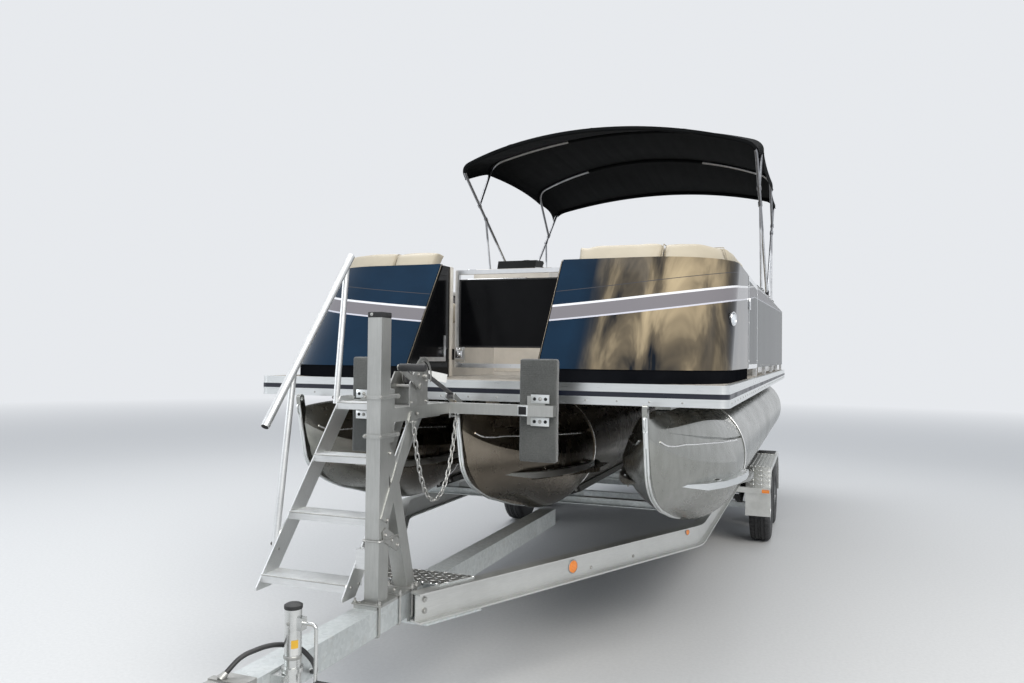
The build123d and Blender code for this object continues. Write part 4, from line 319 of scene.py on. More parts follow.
def rubber(name, colour=(0.018, 0.018, 0.019), roughness=0.62, faded=0.035):
    """Weathered black rubber with a grey bloom."""
    made = Finish(name, colour, roughness)
    bloom_and_shade = made.spread(made.noise(9, 6, 0.65), 0.42, 0.75)
    made.give(Base_Color=made.mix(bloom_and_shade, colour, scaled(colour, 1, faded)),
              Roughness=made.spread(bloom_and_shade, 0, 1, roughness - 0.08, roughness + 0.15))
    made.bump(made.noise(420, 3), 0.25, 0.0006)


def lamp(name):
    """Lamp lenses: amber on the fenders, red at the stern and clear beside the bow."""
    made = Finish(name, (0.9, 0.3, 0.03), 0.12, Coat_Weight=0.6)
    amber, red, clear = (0.85, 0.24, 0.02), (0.55, 0.012, 0.01), (0.72, 0.76, 0.80)
    at_stern = made.math("GREATER_THAN", made.axis("Y"), station(4.6))
    high = made.math("GREATER_THAN", made.axis("Z"), 1.5)
    made.give(Base_Color=made.mix(high, made.mix(at_stern, amber, red), clear))
    made.bump(made.ribs("Z", 900), 0.5, 0.0015)


# Cloth, carpet and vinyl
def carpet(name, colour):
    """Short marine carpet: a dense pile with light and dark fibres."""
    made = Finish(name, colour, 0.95, Sheen_Weight=0.35, Sheen_Roughness=0.5)
    pile = made.math("MULTIPLY_ADD", made.ribs("Z", 700), 0.10, made.noise(420, 3, 0.7))
    tone = made.total((made.noise(4, 5, 0.6), 0.4), (made.noise(150, 4, 0.75), 0.6))
    made.give(Base_Color=made.mix(made.spread(tone, 0.32, 0.68), scaled(colour, 0.55), scaled(colour, 1.5)))
    made.bump(pile, 0.7, 0.004)


def canopy_cloth(name):
    """Black woven acrylic: a fine plain weave, dusty on top, with a soft sheen."""
    colour = (0.0040, 0.0046, 0.0050)
    made = Finish(name, colour, 0.88, Specular_IOR_Level=0.10)
    weave = made.times(made.ribs("X", 2600), made.ribs("Y", 2600))
    fade = made.noise(1.4, 6, 0.6)
    made.give(Base_Color=made.mix(made.spread(fade, 0.35, 0.7), colour, (0.0085, 0.0093, 0.0100)))
    ripples = made.bump(made.noise(3.0, 3, 0.5, made.stretched((0.5, 2.2, 1))), 0.25, 0.012)
    made.bump(weave, 0.30, 0.0006, ripples)


def vinyl(name, colour):
    """Upholstery vinyl: pebbled grain, soft gloss and faint soil in the hollows."""
    made = Finish(name, colour, 0.44, Coat_Weight=0.12, Coat_Roughness=0.35)
    soil = made.spread(made.noise(3.4, 6, 0.62), 0.42, 0.74)
    made.give(Base_Color=made.mix(made.times(soil, 0.6), colour, scaled(colour, 0.80)),
              Roughness=made.spread(soil, 0, 1, 0.40, 0.55))
    creases = made.bump(made.noise(26, 4, 0.6, warp=0.8), 0.14, 0.003)
    made.bump(made.cells(340), 0.22, 0.0009, creases)


def deck_covering(name):
    """Woven vinyl flooring: crossing light and dark yarns."""
    made = Finish(name, (0.34, 0.31, 0.27), 0.78)
    weave = made.times(made.ribs("Y", 1250), made.ribs("X", 1250))
    yarn = made.noise(60, 4, 0.7, made.stretched((1, 0.08, 1)))
    tone = made.math("MULTIPLY_ADD", weave, 0.12, yarn)
    made.give(Base_Color=made.mix(made.spread(tone, 0.35, 0.65), (0.20, 0.18, 0.155), (0.46, 0.42, 0.36)))
    made.bump(weave, 0.5, 0.0012)


def webbing(name):
    """Polyester webbing with ribs along its run."""
    made = Finish(name, (0.10, 0.10, 0.105), 0.7)
    wear = made.noise(70, 4, 0.6)
    made.give(Base_Color=made.mix(made.spread(wear, 0.4, 0.7), (0.055, 0.055, 0.06), (0.16, 0.155, 0.15)))
    made.bump(made.ribs("X", 2400), 0.5, 0.0010)


# The hull sides' gelcoat and its stripes
STRIPE_FLAT = 1.905
STRIPE_SLOPE = 0.055
STRIPE_BEND = 0.025
STRIPES = (
    # height over the upper white line, half width, soft edge, colour
    (0.078, 0.0012, 0.0010, (0.055, 0.055, 0.062)),
    (-0.0375, 0.0370, 0.0006, (0.190, 0.180, 0.192)),
    (0.0, 0.0052, 0.0010, (0.76, 0.76, 0.78)),
    (-0.0750, 0.0036, 0.0010, (0.56, 0.56, 0.62)),
)
GELCOAT_GLOSS = 0.12
GATE_BORDER = 0.031


def striped(made, tone, factor=1.0):
    """A tone with the pin stripes over it, which climb aft."""
    aft = made.math("SUBTRACT", made.axis("Y"), BOW_Y)
    run = made.math("MULTIPLY_ADD", aft, 0.55, made.math("ABSOLUTE", made.axis("X")))
    line = made.math("MULTIPLY_ADD", run, STRIPE_BEND, STRIPE_SLOPE)
    line = made.math("MULTIPLY_ADD", made.math("MINIMUM", run, 2.4), line, STRIPE_FLAT)
    offset = made.math("SUBTRACT", made.axis("Z"), line)
    for middle, half_width, soft, colour in STRIPES:
        tone = made.mix(made.band(offset, middle, half_width, soft), tone, scaled(colour, factor))
    return tone


def navy_gelcoat(name):
    """Deep navy gloss; painted reflection on the port panel (near-black with golden brown streaks) and
    near-black at the bends; pin stripes.
    """
    blue, black = (0.0036, 0.0145, 0.0310), (0.0030, 0.0048, 0.0085)
    # Painted reflection colours: golden brown streaks, with lighter painted highlights in them.
    reflection_bronze, bright = (0.205, 0.162, 0.103), (0.42, 0.335, 0.210)
    made = Finish(name, blue, 0.07)
    x = made.axis("X")
    outward = made.math("ABSOLUTE", x)
    # Painted reflection: streaks across a band on the port panel, over near-black painted reflection that
    # also covers the outer bends.
    streaks = made.noise(2.0, 4, 0.52, made.stretched((3.0, 0.6, 0.80), (0.0, 0.26, 0.0)), 0.6)
    port = made.band(x, 0.93, 0.20, 0.17)
    dark_reflection = made.math("MAXIMUM", made.times(made.band(x, 0.90, 0.24, 0.16), 0.9),
                     made.spread(outward, 1.12, 1.20))
    tone = made.mix(made.spread(made.noise(1.7, 5, 0.6, warp=0.5), 0.3, 0.7), blue, scaled(blue, 1.7))
    tone = made.mix(dark_reflection, tone, black)
    # The golden brown painted reflection and its painted highlights, in streaks across the port band.
    for low, high, colour in ((0.34, 0.60, reflection_bronze), (0.50, 0.72, bright)):
        tone = made.mix(made.times(made.spread(streaks, low, high), port), tone, colour)
    made.give(Base_Color=striped(made, tone),
              Specular_IOR_Level=made.spread(outward, 1.13, 1.22, GELCOAT_GLOSS, 0.04))
    made.bump(made.noise(2.8, 2, 0.5), 0.05, 0.02)


def navy_side(name, gate=None):
    """The side walls' satin near-black with painted reflection in soft upright bands; the border of a gate is
    bare.
    """
    made = Finish(name, (0.012, 0.016, 0.018), 0.22, Specular_IOR_Level=0.03)
    # Painted reflection: soft lighter upright bands and finer streaks over the near-black.
    reflection_bands = made.noise(1.9, 4, 0.55, made.stretched((0.5, 2.4, 0.12)), 0.3)
    fine = made.noise(5.0, 3, 0.5, made.stretched((0.5, 3.0, 0.10)))
    tone = made.mix(made.spread(reflection_bands, 0.40, 0.62), (0.0065, 0.0090, 0.0110), (0.030, 0.037, 0.037))
    tone = made.mix(made.spread(fine, 0.56, 0.72, 0.0, 0.6), tone, (0.062, 0.074, 0.072))
    # The pin stripes at 0.55 of their colour on the side walls, as painted shade.
    tone = striped(made, tone, 0.55)
    if gate:
        low, high = gate
        thin = min(range(3), key=lambda axis: high[axis] - low[axis])
        inside = made.times(*(made.band(made.axis("XYZ"[axis]), (low[axis] + high[axis]) / 2,
                                        (high[axis] - low[axis]) / 2 - GATE_BORDER, 0.001)
                              for axis in range(3) if axis != thin))
        tone = made.mix(inside, (0.80, 0.81, 0.82), tone)
        made.give(Metallic=made.math("SUBTRACT", 1.0, inside))
    made.give(Base_Color=tone)


for row in (
        # name, light, dark, roughness, grime, relief, streak factors
        ("silver_tube", (0.84, 0.85, 0.86), (0.72, 0.73, 0.74), 0.32, 0.0, 0.02),
        ("rail_aluminium", (0.80, 0.82, 0.82), (0.68, 0.70, 0.70), 0.30, 0.0, 0.02, (0.3, 0.3, 6)),
        ("ladder_aluminium", (0.82, 0.83, 0.83), (0.64, 0.65, 0.65), 0.40, 0.08, 0.06, (0.4, 5, 5)),
        ("post_aluminium", (0.53, 0.535, 0.52), (0.39, 0.395, 0.38), 0.46, 0.10, 0.05, (6, 6, 0.3)),
        ("beam_aluminium", (0.66, 0.665, 0.65), (0.52, 0.525, 0.51), 0.46, 0.05, 0.05, (0.5, 0.5, 7)),
        ("zinc", (0.52, 0.52, 0.51), (0.34, 0.34, 0.32), 0.44, 0.3, 0.08),
        ("plated", (0.74, 0.75, 0.74), (0.52, 0.53, 0.52), 0.24, 0.15, 0.04),
        ("chrome", (0.78, 0.79, 0.80), (0.62, 0.63, 0.65), 0.14, 0.1),
        ("champagne", (0.50, 0.44, 0.35), (0.34, 0.29, 0.22), 0.34, 0.1, 0.05),
        ("weld", (0.90, 0.90, 0.90), (0.70, 0.70, 0.70), 0.26, 0.0, 0.3),
        ("prop_metal", (0.55, 0.55, 0.55), (0.40, 0.40, 0.40), 0.25, 0.2),
        ("rim_metal", (0.70, 0.71, 0.72), (0.50, 0.51, 0.52), 0.30, 0.25)):
    metal(*row)
for row in (
        # name, colour, roughness, dust, orange peel, coat, metallic, specular
        ("black_panel", (0.0018, 0.0020, 0.0026), 0.10, 0.01, 0.02, 0.0, 0.0, 0.10),
        ("engine_paint", (0.012, 0.012, 0.014), 0.18, 0.15, 0.05, 0.8),
        ("console_gelcoat", (0.55, 0.51, 0.45), 0.22, 0.1, 0.05, 0.5),
        ("black_plastic", (0.022, 0.022, 0.024), 0.42, 0.3, 0.3),
        ("nylon", (0.014, 0.014, 0.015), 0.48, 0.3, 0.35),
        ("spring_steel", (0.030, 0.029, 0.028), 0.55, 0.6, 0.05, 0.0, 0.3),
        # Near-black for the painted shade inside open tube ends and holes.
        ("dark_hole", (0.004, 0.004, 0.005), 0.8, 0.3),
        ("kick_black", (0.0040, 0.0045, 0.0060), 0.45, 0.05, 0.05, 0.0, 0.0, 0.0),
        ("hood_black", (0.0060, 0.0065, 0.0065), 0.50, 0.05, 0.10, 0.0, 0.0, 0.15),
        ("label_yellow", (0.72, 0.42, 0.04), 0.45, 0.1),
        ("white_web", (0.62, 0.62, 0.60), 0.8, 0.5, 0.4),
        ("dial", (0.008, 0.009, 0.010), 0.12, 0.05, 0.05, 0.3)):
    painted(*row)
for build in (galvanised, bow_tube, canopy_cloth, navy_gelcoat, navy_side, deck_covering, diamond_plate,
              lamp, webbing):
    build(build.__name__)
pontoon_metal("mill_aluminium")
# The motor pod gets only a little of the painted shade between the tubes.
pontoon_metal("pod_metal", 0.10)
navy_side("side_gate_wall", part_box("side_gate"))
navy_side("stern_gate_wall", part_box("stern_gate"))
vinyl("vinyl", (0.46, 0.405, 0.305))
vinyl("welt", (0.40, 0.35, 0.265))
carpet("carpet", (0.080, 0.083, 0.079))
rubber("tyre")
rubber("hose_rubber", (0.016, 0.016, 0.017), 0.5)
rubber("grip_rubber", (0.013, 0.013, 0.014), 0.58)
rubber("navy_rubber", (0.004, 0.006, 0.015), 0.40, 0.004)

# The record's slots of the fittings' materials, and the nodes that share a slot with another finish
NODE_FINISH = {"winch_stand": "post_aluminium", "frame_rails": "beam_aluminium", "side_panels": "navy_side",
               "side_gate": "side_gate_wall", "stern_gate": "stern_gate_wall", "kick_panels": "kick_black",
               "helm_hood": "hood_black", "motor_pod": "pod_metal", "jack_tube": "plated"}
for node_name, node in NODES.items():
    node.data.materials.clear()
    node.data.materials.append(MATERIALS[NODE_FINISH.get(node_name, SLOT_OF[node_name])])


def finished(name, mesh, body, material):
    """An object made of a mesh, riding on a body, in a material."""
    made = linked(name, mesh)
    mesh.materials.clear()
    mesh.materials.append(MATERIALS[material])
    mesh.shade_smooth()
    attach(made, body)
    return made


def turns(count):
    """Angles spread evenly over a whole turn."""
    return [2 * math.pi * number / count for number in range(count)]


def square_to(axis):
    """Two unit vectors square to an axis and to each other."""
    helper = Vector((0, 0, 1)) if abs(axis.z) < 0.9 else Vector((1, 0, 0))
    right = axis.cross(helper).normalized()
    return right, right.cross(axis).normalized()


def ring(centre, axis, radius, count):
    """Points on a circle square to an axis."""
    right, upward = square_to(axis)
    return [centre + (right * math.cos(turn) + upward * math.sin(turn)) * radius for turn in turns(count)]


def turned(centre, plane, radius, turn):
    """A point round a centre in the plane of two axes, at an angle from the first one."""
    spot = placed(centre).copy()
    spot["xyz".index(plane[0])] += radius * math.cos(turn)
    spot["xyz".index(plane[1])] += radius * math.sin(turn)
    return spot


def rectangle(middle, wide, tall):
    """Four corners from a middle and two half sides."""
    return [middle + wide * a + tall * b for a, b in ((-1, -1), (1, -1), (1, 1), (-1, 1))]


def rounded_line(corners, radius, steps=5):
    """A line of points through corners, each corner eased by a curve that starts a radius away."""
    corners = [placed(corner) for corner in corners]
    made = [corners[0]]
    for before, here, after in zip(corners, corners[1:], corners[2:]):
        reach = min(radius, (here - before).length / 2.01, (after - here).length / 2.01)
        start = here + (before - here).normalized() * reach
        end = here + (after - here).normalized() * reach
        for share in (number / steps for number in range(steps + 1)):
            made.append(start.lerp(here, share).lerp(here.lerp(end, share), share))
    return made + [corners[-1]]


def eased_block(shape, low, high, ease, segments):
    """A block between two corners with eased edges, added to a bmesh."""
    verts = bmesh.ops.create_cube(shape, size=1.0)["verts"]
    for vert in verts:
        vert.co = Vector(low[axis] + (high[axis] - low[axis]) * (vert.co[axis] + 0.5) for axis in range(3))
    edges = list({edge for vert in verts for edge in vert.link_edges})
    bmesh.ops.bevel(shape, geom=edges, offset=ease, segments=segments, affect="EDGES", profile=0.5)


# A bolt's washer, head and thread, in sizes: start, (distance, radius) pairs, sides
BOLT = ((0, ((0, 1.15), (0.15, 1.15)), 16), (0.15, ((0, 0.8), (0.5, 0.8), (0.62, 0.656)), 6),
        (0.7, ((0, 0.42), (0.25, 0.36)), 8))


class Kit:
    """Fittings being gathered into one mesh."""

    def __init__(self):
        self.shape = bmesh.new()

    def skin(self, rings, closed=False):
        """Faces between rings of points with the same count, capped where they aren't closed."""
        rows = [[self.shape.verts.new(spot) for spot in one] for one in rings]
        for first, second in list(zip(rows, rows[1:])) + ([(rows[-1], rows[0])] if closed else []):
            for number in range(len(first)):
                after = (number + 1) % len(first)
                self.shape.faces.new((first[number], first[after], second[after], second[number]))
        if not closed:
            self.shape.faces.new(rows[0][::-1])
            self.shape.faces.new(rows[-1])

    def lathe(self, start, axis, profile, count=16):
        """A turned form: (distance along the axis, radius) pairs from its start."""
        start, axis = placed(start), Vector(axis).normalized()
        self.skin([ring(start + axis * reach, axis, radius, count) for reach, radius in profile])

    def disc(self, start, axis, radius, length, count=16):
        """A plain cylinder."""
        self.lathe(start, axis, [(0, radius), (length, radius)], count)

    def rod(self, start, end, radius, count=12):
        """A round bar with eased ends."""
        start, end = placed(start), placed(end)
        length, ease = (end - start).length, radius * 0.18
        self.lathe(start, end - start, [(0, radius - ease), (ease, radius), (length - ease, radius),
                                        (length, radius - ease)], count)

    def tube(self, line, radius, count=8, closed=False, flat=1.0):
        """A round bar along a line of spots."""
        line = [placed(spot) for spot in line]
        rings, right, last = [], None, len(line) - 1
        for number, spot in enumerate(line):
            if closed:
                heading = line[(number + 1) % len(line)] - line[number - 1]
            else:
                heading = line[min(number + 1, last)] - line[max(number - 1, 0)]
            heading = heading.normalized()
            if right is None:
                right = square_to(heading)[0]
            right = (right - heading * right.dot(heading)).normalized()
            upward = right.cross(heading)
            rings.append([spot + (right * math.cos(turn) + upward * math.sin(turn) * flat) * radius
                          for turn in turns(count)])
        self.skin(rings, closed)

    def bent(self, corners, bend, radius, count=8, steps=5):
        """A round bar bent at corners."""
        self.tube(rounded_line(corners, bend, steps), radius, count)

    def block(self, x0, x1, s0, s1, z0, z1, ease=0.001):
        """A block with eased edges."""
        x0, x1 = sorted((x0, x1))
        eased_block(self.shape, point(x0, s0, z0), point(x1, s1, z1), ease, 2)

    def plate(self, outline, step):
        """A flat plate from its outline, thickened by a step."""
        outline = [placed(spot) for spot in outline]
        self.skin([outline, [spot + Vector(step) for spot in outline]])

    def bolt(self, place, axis, size):
        """A hexagon head on a washer, and the end of its thread."""
        place, axis = placed(place), Vector(axis).normalized()
        for start, profile, count in BOLT:
            self.lathe(place + axis * size * start, axis, [(a * size, b * size) for a, b in profile], count)

    def side_bolts(self, x, spots, size):
        """Bolts that face outward on both sides, at (station, height) spots."""
        for side in SIDES:
            for spot in spots:
                self.bolt((side * x, *spot), (side, 0, 0), size)

    def dome(self, place, axis, radius, height, count=10):
        """A pan head."""
        self.lathe(place, axis, [(0, radius), (height * 0.55, radius * 0.93), (height, radius * 0.55)], count)

    def made(self, name, material, body="boat", sharp=38):
        """The gathered fittings as one piece."""
        bmesh.ops.recalc_face_normals(self.shape, faces=self.shape.faces)
        piece = finished(name, as_mesh(self.shape, name), body, material)
        piece.data.set_sharp_from_angle(angle=math.radians(sharp))
        return piece


# Cushions: each CAD cushion is cut where its seams are, and the cells are filled with air.
CELL_OVERLAP = 0.014
CUSHION_VOXEL = 0.015
CUSHION_FRAMES = 16
CUSHION_SHRINK = 0.001
CUSHION_CAP = 0.013
CUSHION_CLOTH = {"quality": 4, "mass": 0.4, "tension_stiffness": 18, "compression_stiffness": 18,
                 "bending_stiffness": 1.2, "use_pressure": True, "uniform_pressure_force": 4.0}
WELT_RADIUS = 0.0026
WELT_STEP = 0.006


def shells(node):
    """The separate closed shells of a CAD node, each as its own bmesh."""
    whole = bmesh.new()
    whole.from_mesh(NODES[node].data)
    bmesh.ops.remove_doubles(whole, verts=whole.verts, dist=1e-5)
    seen, found = set(), []
    for seed in whole.verts:
        if seed.index in seen:
            continue
        group, queue = {seed}, [seed]
        while queue:
            for edge in queue.pop().link_edges:
                for vert in edge.verts:
                    if vert not in group:
                        group.add(vert)
                        queue.append(vert)
        seen.update(vert.index for vert in group)
        part = whole.copy()
        part.verts.ensure_lookup_table()
        keep = {vert.index for vert in group}
        bmesh.ops.delete(part, geom=[v for v in part.verts if v.index not in keep], context="VERTS")
        found.append(part)
    whole.free()
    return found


def halves(shape, place, normal, outlines):
    """A closed shape cut in two overlapping parts, and the cut's outline added to a list for the piping."""
    made = []
    for sign in SIDES:
        part = shape.copy()
        facing = normal * sign
        bmesh.ops.bisect_plane(part, geom=part.verts[:] + part.edges[:] + part.faces[:], dist=1e-6,
                               plane_co=place - facing * CELL_OVERLAP / 2, plane_no=facing, clear_inner=True)
        edges = [edge for edge in part.edges if edge.is_boundary]
        if part.faces and edges:
            filled = bmesh.ops.holes_fill(part, edges=edges)["faces"]
            if sign < 0:
                outlines.extend([vert.co + facing * CELL_OVERLAP / 2 for vert in face.verts]
                                for face in filled)
        if part.faces:
            made.append(part)
        else:
            part.free()
    return made


def cells_of(shape, cuts, outlines):
    """A shape cut by every plane that crosses it."""
    pieces = [shape]
    for place, normal in ((Vector(a), Vector(b)) for a, b in cuts):
        cut = []
        for piece in pieces:
            reach = [(vert.co - place).dot(normal) for vert in piece.verts]
            crossed = min(reach) < -0.02 and max(reach) > 0.02
            cut.extend(halves(piece, place, normal, outlines) if crossed else [piece])
        pieces = cut
    return pieces


def evaluated(holder):
    """The mesh of an object after its modifiers."""
    return bpy.data.meshes.new_from_object(holder.evaluated_get(bpy.context.evaluated_depsgraph_get()))


def remeshed(shape, voxel):
    """A cell drawn in a little and remeshed evenly."""
    bmesh.ops.recalc_face_normals(shape, faces=shape.faces)
    holder = linked("cell", as_mesh(shape, "cell"))
    modifier = holder.modifiers.new("even", "REMESH")
    modifier.mode = "VOXEL"
    modifier.voxel_size = voxel
    even = evaluated(holder)
    bpy.data.objects.remove(holder)
    for vert in even.vertices:
        vert.co -= vert.normal * CUSHION_SHRINK
    return even


def inflate(mesh):
    """Fill closed cells with air by a cloth simulation, each point moving no further than the cap."""
    holder = linked("inflating", mesh)
    cloth = holder.modifiers.new("Cloth", "CLOTH")
    for key, value in CUSHION_CLOTH.items():
        setattr(cloth.settings, key, value)
    cloth.settings.effector_weights.gravity = 0
    cloth.point_cache.frame_start = 1
    cloth.point_cache.frame_end = CUSHION_FRAMES
    for number in range(1, CUSHION_FRAMES + 1):
        bpy.context.scene.frame_set(number)
    result = evaluated(holder)
    for before, after in zip(mesh.vertices, result.vertices):
        step = after.co - before.co
        if step.length > CUSHION_CAP:
            after.co = before.co + step * (CUSHION_CAP / step.length)
    bpy.data.objects.remove(holder)
    bpy.context.scene.frame_set(1)
    return result


def cushions(name, node, body, cuts, voxel=CUSHION_VOXEL):
    """Stuffed cells that stand for a CAD cushion, with thin piping along their seams."""
    outlines = []
    cells = [cell for shell in shells(node) for cell in cells_of(shell, cuts, outlines)]
    whole = bmesh.new()
    for even in [remeshed(cell, voxel) for cell in cells]:
        whole.from_mesh(even)
    mesh = as_mesh(whole, "joined")
    made = finished(name, inflate(mesh), body, "vinyl")
    smoothing = made.modifiers.new("smooth", "CORRECTIVE_SMOOTH")
    smoothing.iterations = 4
    smoothing.use_only_smooth = True
    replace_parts(made, node)
    piping = Kit()
    for outline in outlines:
        spaced = [outline[0]]
        for spot in outline[1:]:
            if (spot - spaced[-1]).length > WELT_STEP:
                spaced.append(spot)
        if len(spaced) > 3:
            piping.tube(spaced, WELT_RADIUS, 6, closed=True)
    piping.made(f"{name}_piping", "welt", body)


def cuts_at(stations, middles):
    """Cutting planes across the boat at stations, and along it at distances from its middle."""
    return ([((0, station(y), 0), (0, 1, 0)) for y in stations]
            + [((x, 0, 0), (1, 0, 0)) for x in middles])


SEAT_CUTS = cuts_at((0.80, 3.90, 4.55, 5.15, 5.640), (0.08, 0.640))
BACK_CUTS = cuts_at((0.75, 3.90, 4.55, 5.15), (0.90, -0.70, 0.20)) + cuts_at((5.98,), ())
CHAIR_CUTS = [((0, 0, 1.92), (0, 0, 1))] + cuts_at((), (-0.98, -0.54))

# Canopy: one sheet over the four bows, sagging a little between them. Its spots are (station, height).
BIMINI_HALF = 1.228
BIMINI_PIVOT = (4.150, 2.264)
BIMINI_FRONT = (2.565, 3.319)
BIMINI_REAR = (5.315, 3.394)
BIMINI_SECOND = (3.280, 3.514)
BIMINI_THIRD = (4.610, 3.504)
SECOND_SHARE = 0.752
THIRD_SHARE = 0.713
CROWN_RADIUS = 2.800
BOW_BEND = 0.150
CLOTH_OFFSET = 0.0210
CLOTH_THICKNESS = 0.0012
SKIRT = 0.040
SAG = 0.016
SPAN_ROWS = 12
CLOTH_COLUMNS = 150
SEAM_COLUMNS = (36, 37, 75, 113, 114)


def along(start, end, share):
    """A spot part of the way between two others."""
    return tuple(a + (b - a) * share for a, b in zip(start, end))


BOWS = (
    # foot, corner
    (BIMINI_PIVOT, BIMINI_FRONT),
    (along(BIMINI_PIVOT, BIMINI_FRONT, SECOND_SHARE), BIMINI_SECOND),
    (along(BIMINI_PIVOT, BIMINI_REAR, THIRD_SHARE), BIMINI_THIRD),
    (BIMINI_PIVOT, BIMINI_REAR),
)
CROWN_RISE = CROWN_RADIUS - math.sqrt((CROWN_RADIUS - BOW_BEND)**2 - (BIMINI_HALF - BOW_BEND)**2)


def bow_outline(length, offset, skirt):
    """A bow's line in its own plane from the starboard skirt to the crown, as (x, rise) pairs."""
    leg_end = length - BOW_BEND * math.sin(math.radians(45))
    centre_x = BIMINI_HALF - BOW_BEND
    crown_centre = leg_end + CROWN_RISE - CROWN_RADIUS
    lean = math.atan2(leg_end - crown_centre, centre_x)
    points = [(-BIMINI_HALF - offset, leg_end - skirt * (1 - number / 4)) for number in range(4)]
    corner = [lean * number / 12 for number in range(13)]
    crown = [lean + (math.pi / 2 - lean) * number / 60 for number in range(1, 61)]
    for x, rise, radius, angles in ((-centre_x, leg_end, BOW_BEND + offset, corner),
                                    (0.0, crown_centre, CROWN_RADIUS + offset, crown)):
        points += [(x - radius * math.cos(angle), rise + radius * math.sin(angle)) for angle in angles]
    return points


def bow_curve(foot, corner, offset, skirt, columns):
    """Evenly spread points of a bow's line from starboard to port, in the frame."""
    dy, dz = corner[0] - foot[0], corner[1] - foot[1]
    length = math.hypot(dy, dz)
    half = bow_outline(length, offset, skirt)
    line = half + [(-x, rise) for x, rise in half[-2::-1]]
    walked = [0.0]
    for first, second in zip(line, line[1:]):
        walked.append(walked[-1] + math.dist(first, second))
    points, spot = [], 0
    for number in range(columns + 1):
        target = walked[-1] * number / columns
        while spot < len(walked) - 2 and walked[spot + 1] < target:
            spot += 1
        share = (target - walked[spot]) / (walked[spot + 1] - walked[spot])
        x, rise = along(line[spot], line[spot + 1], min(share, 1.0))
        points.append(point(x, foot[0] + dy / length * rise, foot[1] + dz / length * rise))
    return points


def canopy_rows():
    """The cloth's rows of points along the bows, with sag, stretch folds and scalloped sides between them."""
    rails = [bow_curve(foot, corner, CLOTH_OFFSET, SKIRT, CLOTH_COLUMNS) for foot, corner in BOWS]
    rows = []
    for span, (first, second) in enumerate(zip(rails, rails[1:])):
        for row in range(SPAN_ROWS + (span == len(rails) - 2)):
            share = row / SPAN_ROWS
            belly = 4 * share * (1 - share)
            line = []
            for number, (a, b) in enumerate(zip(first, second)):
                spot = a.lerp(b, share)
                middle = 1 - abs(2 * number / CLOTH_COLUMNS - 1)
                edge = max(0.0, 1 - middle / 0.10)
                fold = (math.sin(number * 0.83 + span * 2.1) + 0.6 * math.sin(number * 1.9 + span)) * 0.0026
                seam = 0.0022 if number in SEAM_COLUMNS else 0.0
                inward = Vector((-math.copysign(1, spot.x), 0, 0.35)) * edge
                sink = (fold - SAG) * (1 - edge)
                line.append(spot + Vector((0, 0, sink * belly + seam)) + inward * 0.034 * belly)
            rows.append(line)
    return rows


def canopy_pockets():
    """The sleeves that hold the bows to the cloth, the front and rear hems, and the edge bindings."""
    kit = Kit()
    for bow, low, high, radius in zip(BOWS, (-1.22, -0.53, -0.617, -1.22), (1.22, 0.627, 0.586, 1.22),
                                      (0.0168, 0.0158, 0.0158, 0.0168)):
        kit.tube([spot for spot in bow_curve(*bow, 0.0, 0.06, CLOTH_COLUMNS) if low <= spot.x <= high],
                 radius, 14)
    rows = canopy_rows()
    for column in (0, -1):
        kit.tube([row[column] for row in rows], 0.0045)
    return kit.made("canopy_pockets", "canopy_cloth")


def canopy():
    """One sheet over the four bows, with its pockets, hems and bindings."""
    shape = bmesh.new()
    rows = [[shape.verts.new(spot) for spot in row] for row in canopy_rows()]
    for first, second in zip(rows, rows[1:]):
        for number in range(CLOTH_COLUMNS):
            shape.faces.new((first[number], first[number + 1], second[number + 1], second[number]))
    bmesh.ops.recalc_face_normals(shape, faces=shape.faces)
    area = sum(face.calc_area() for face in shape.faces)
    rail = bow_curve(*BOWS[1], CLOTH_OFFSET, SKIRT, CLOTH_COLUMNS)
    cloth = finished("canopy", as_mesh(shape, "canopy"), "boat", "canopy_cloth")
    thick = cloth.modifiers.new("thickness", "SOLIDIFY")
    thick.thickness = CLOTH_THICKNESS
    thick.offset = -1
    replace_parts(cloth, "bimini_canvas")
    canopy_pockets()


def bimini_fittings():
    """Nylon sliders, eye ends and deck hinges, with their cap screws."""
    nylon, screws = Kit(), Kit()
    for x, side in ((side * BIMINI_HALF, side) for side in SIDES):
        for corner, shares in ((BIMINI_FRONT, (SECOND_SHARE, 0.655)), (BIMINI_REAR, (THIRD_SHARE, 0.635))):
            far = (point(0, *corner) - point(0, *BIMINI_PIVOT)).normalized()
            nylon.lathe(point(x, *BIMINI_PIVOT) + far * 0.035, far,
                        [(0, 0.0135), (0.002, 0.0150), (0.048, 0.0150), (0.050, 0.0135)], 16)
            for spot in (along(BIMINI_PIVOT, corner, share) for share in shares):
                nylon.lathe(point(x, *spot) - far * 0.020, far,
                            [(0, 0.0140), (0.003, 0.0155), (0.037, 0.0155), (0.040, 0.0140)], 20)
                screws.dome((x - side * 0.0155, *spot), (-side, 0, 0), 0.006, 0.003)
        for s, z in (BIMINI_PIVOT, (3.300, 2.252), (4.940, 2.270)):
            nylon.block(x - 0.0165, x + 0.0175, s - 0.026, s + 0.026, z - 0.016, z + 0.020, 0.005)
            for reach in (-0.0165, 0.0175):
                screws.bolt((x + reach, s, z + 0.004), (reach, 0, 0), 0.008)
    nylon.made("bimini_nylon", "nylon")
    screws.made("bimini_screws", "zinc")


# Deck and bow
BEAM_HALF = RAIL_HIGH.x
DECK_END = RAIL_HIGH.y - BOW_Y
PANEL_BASE = 1.614
PANEL_CREST = 2.204
PANEL_RAKE = 0.410 / 0.590
FENCE_FACE = 1.2633
FLOOR_TOP = 1.548


def raked(height):
    """How far aft the bow panel's front has moved at a height."""
    return 0.010 + PANEL_RAKE * (height - PANEL_BASE)


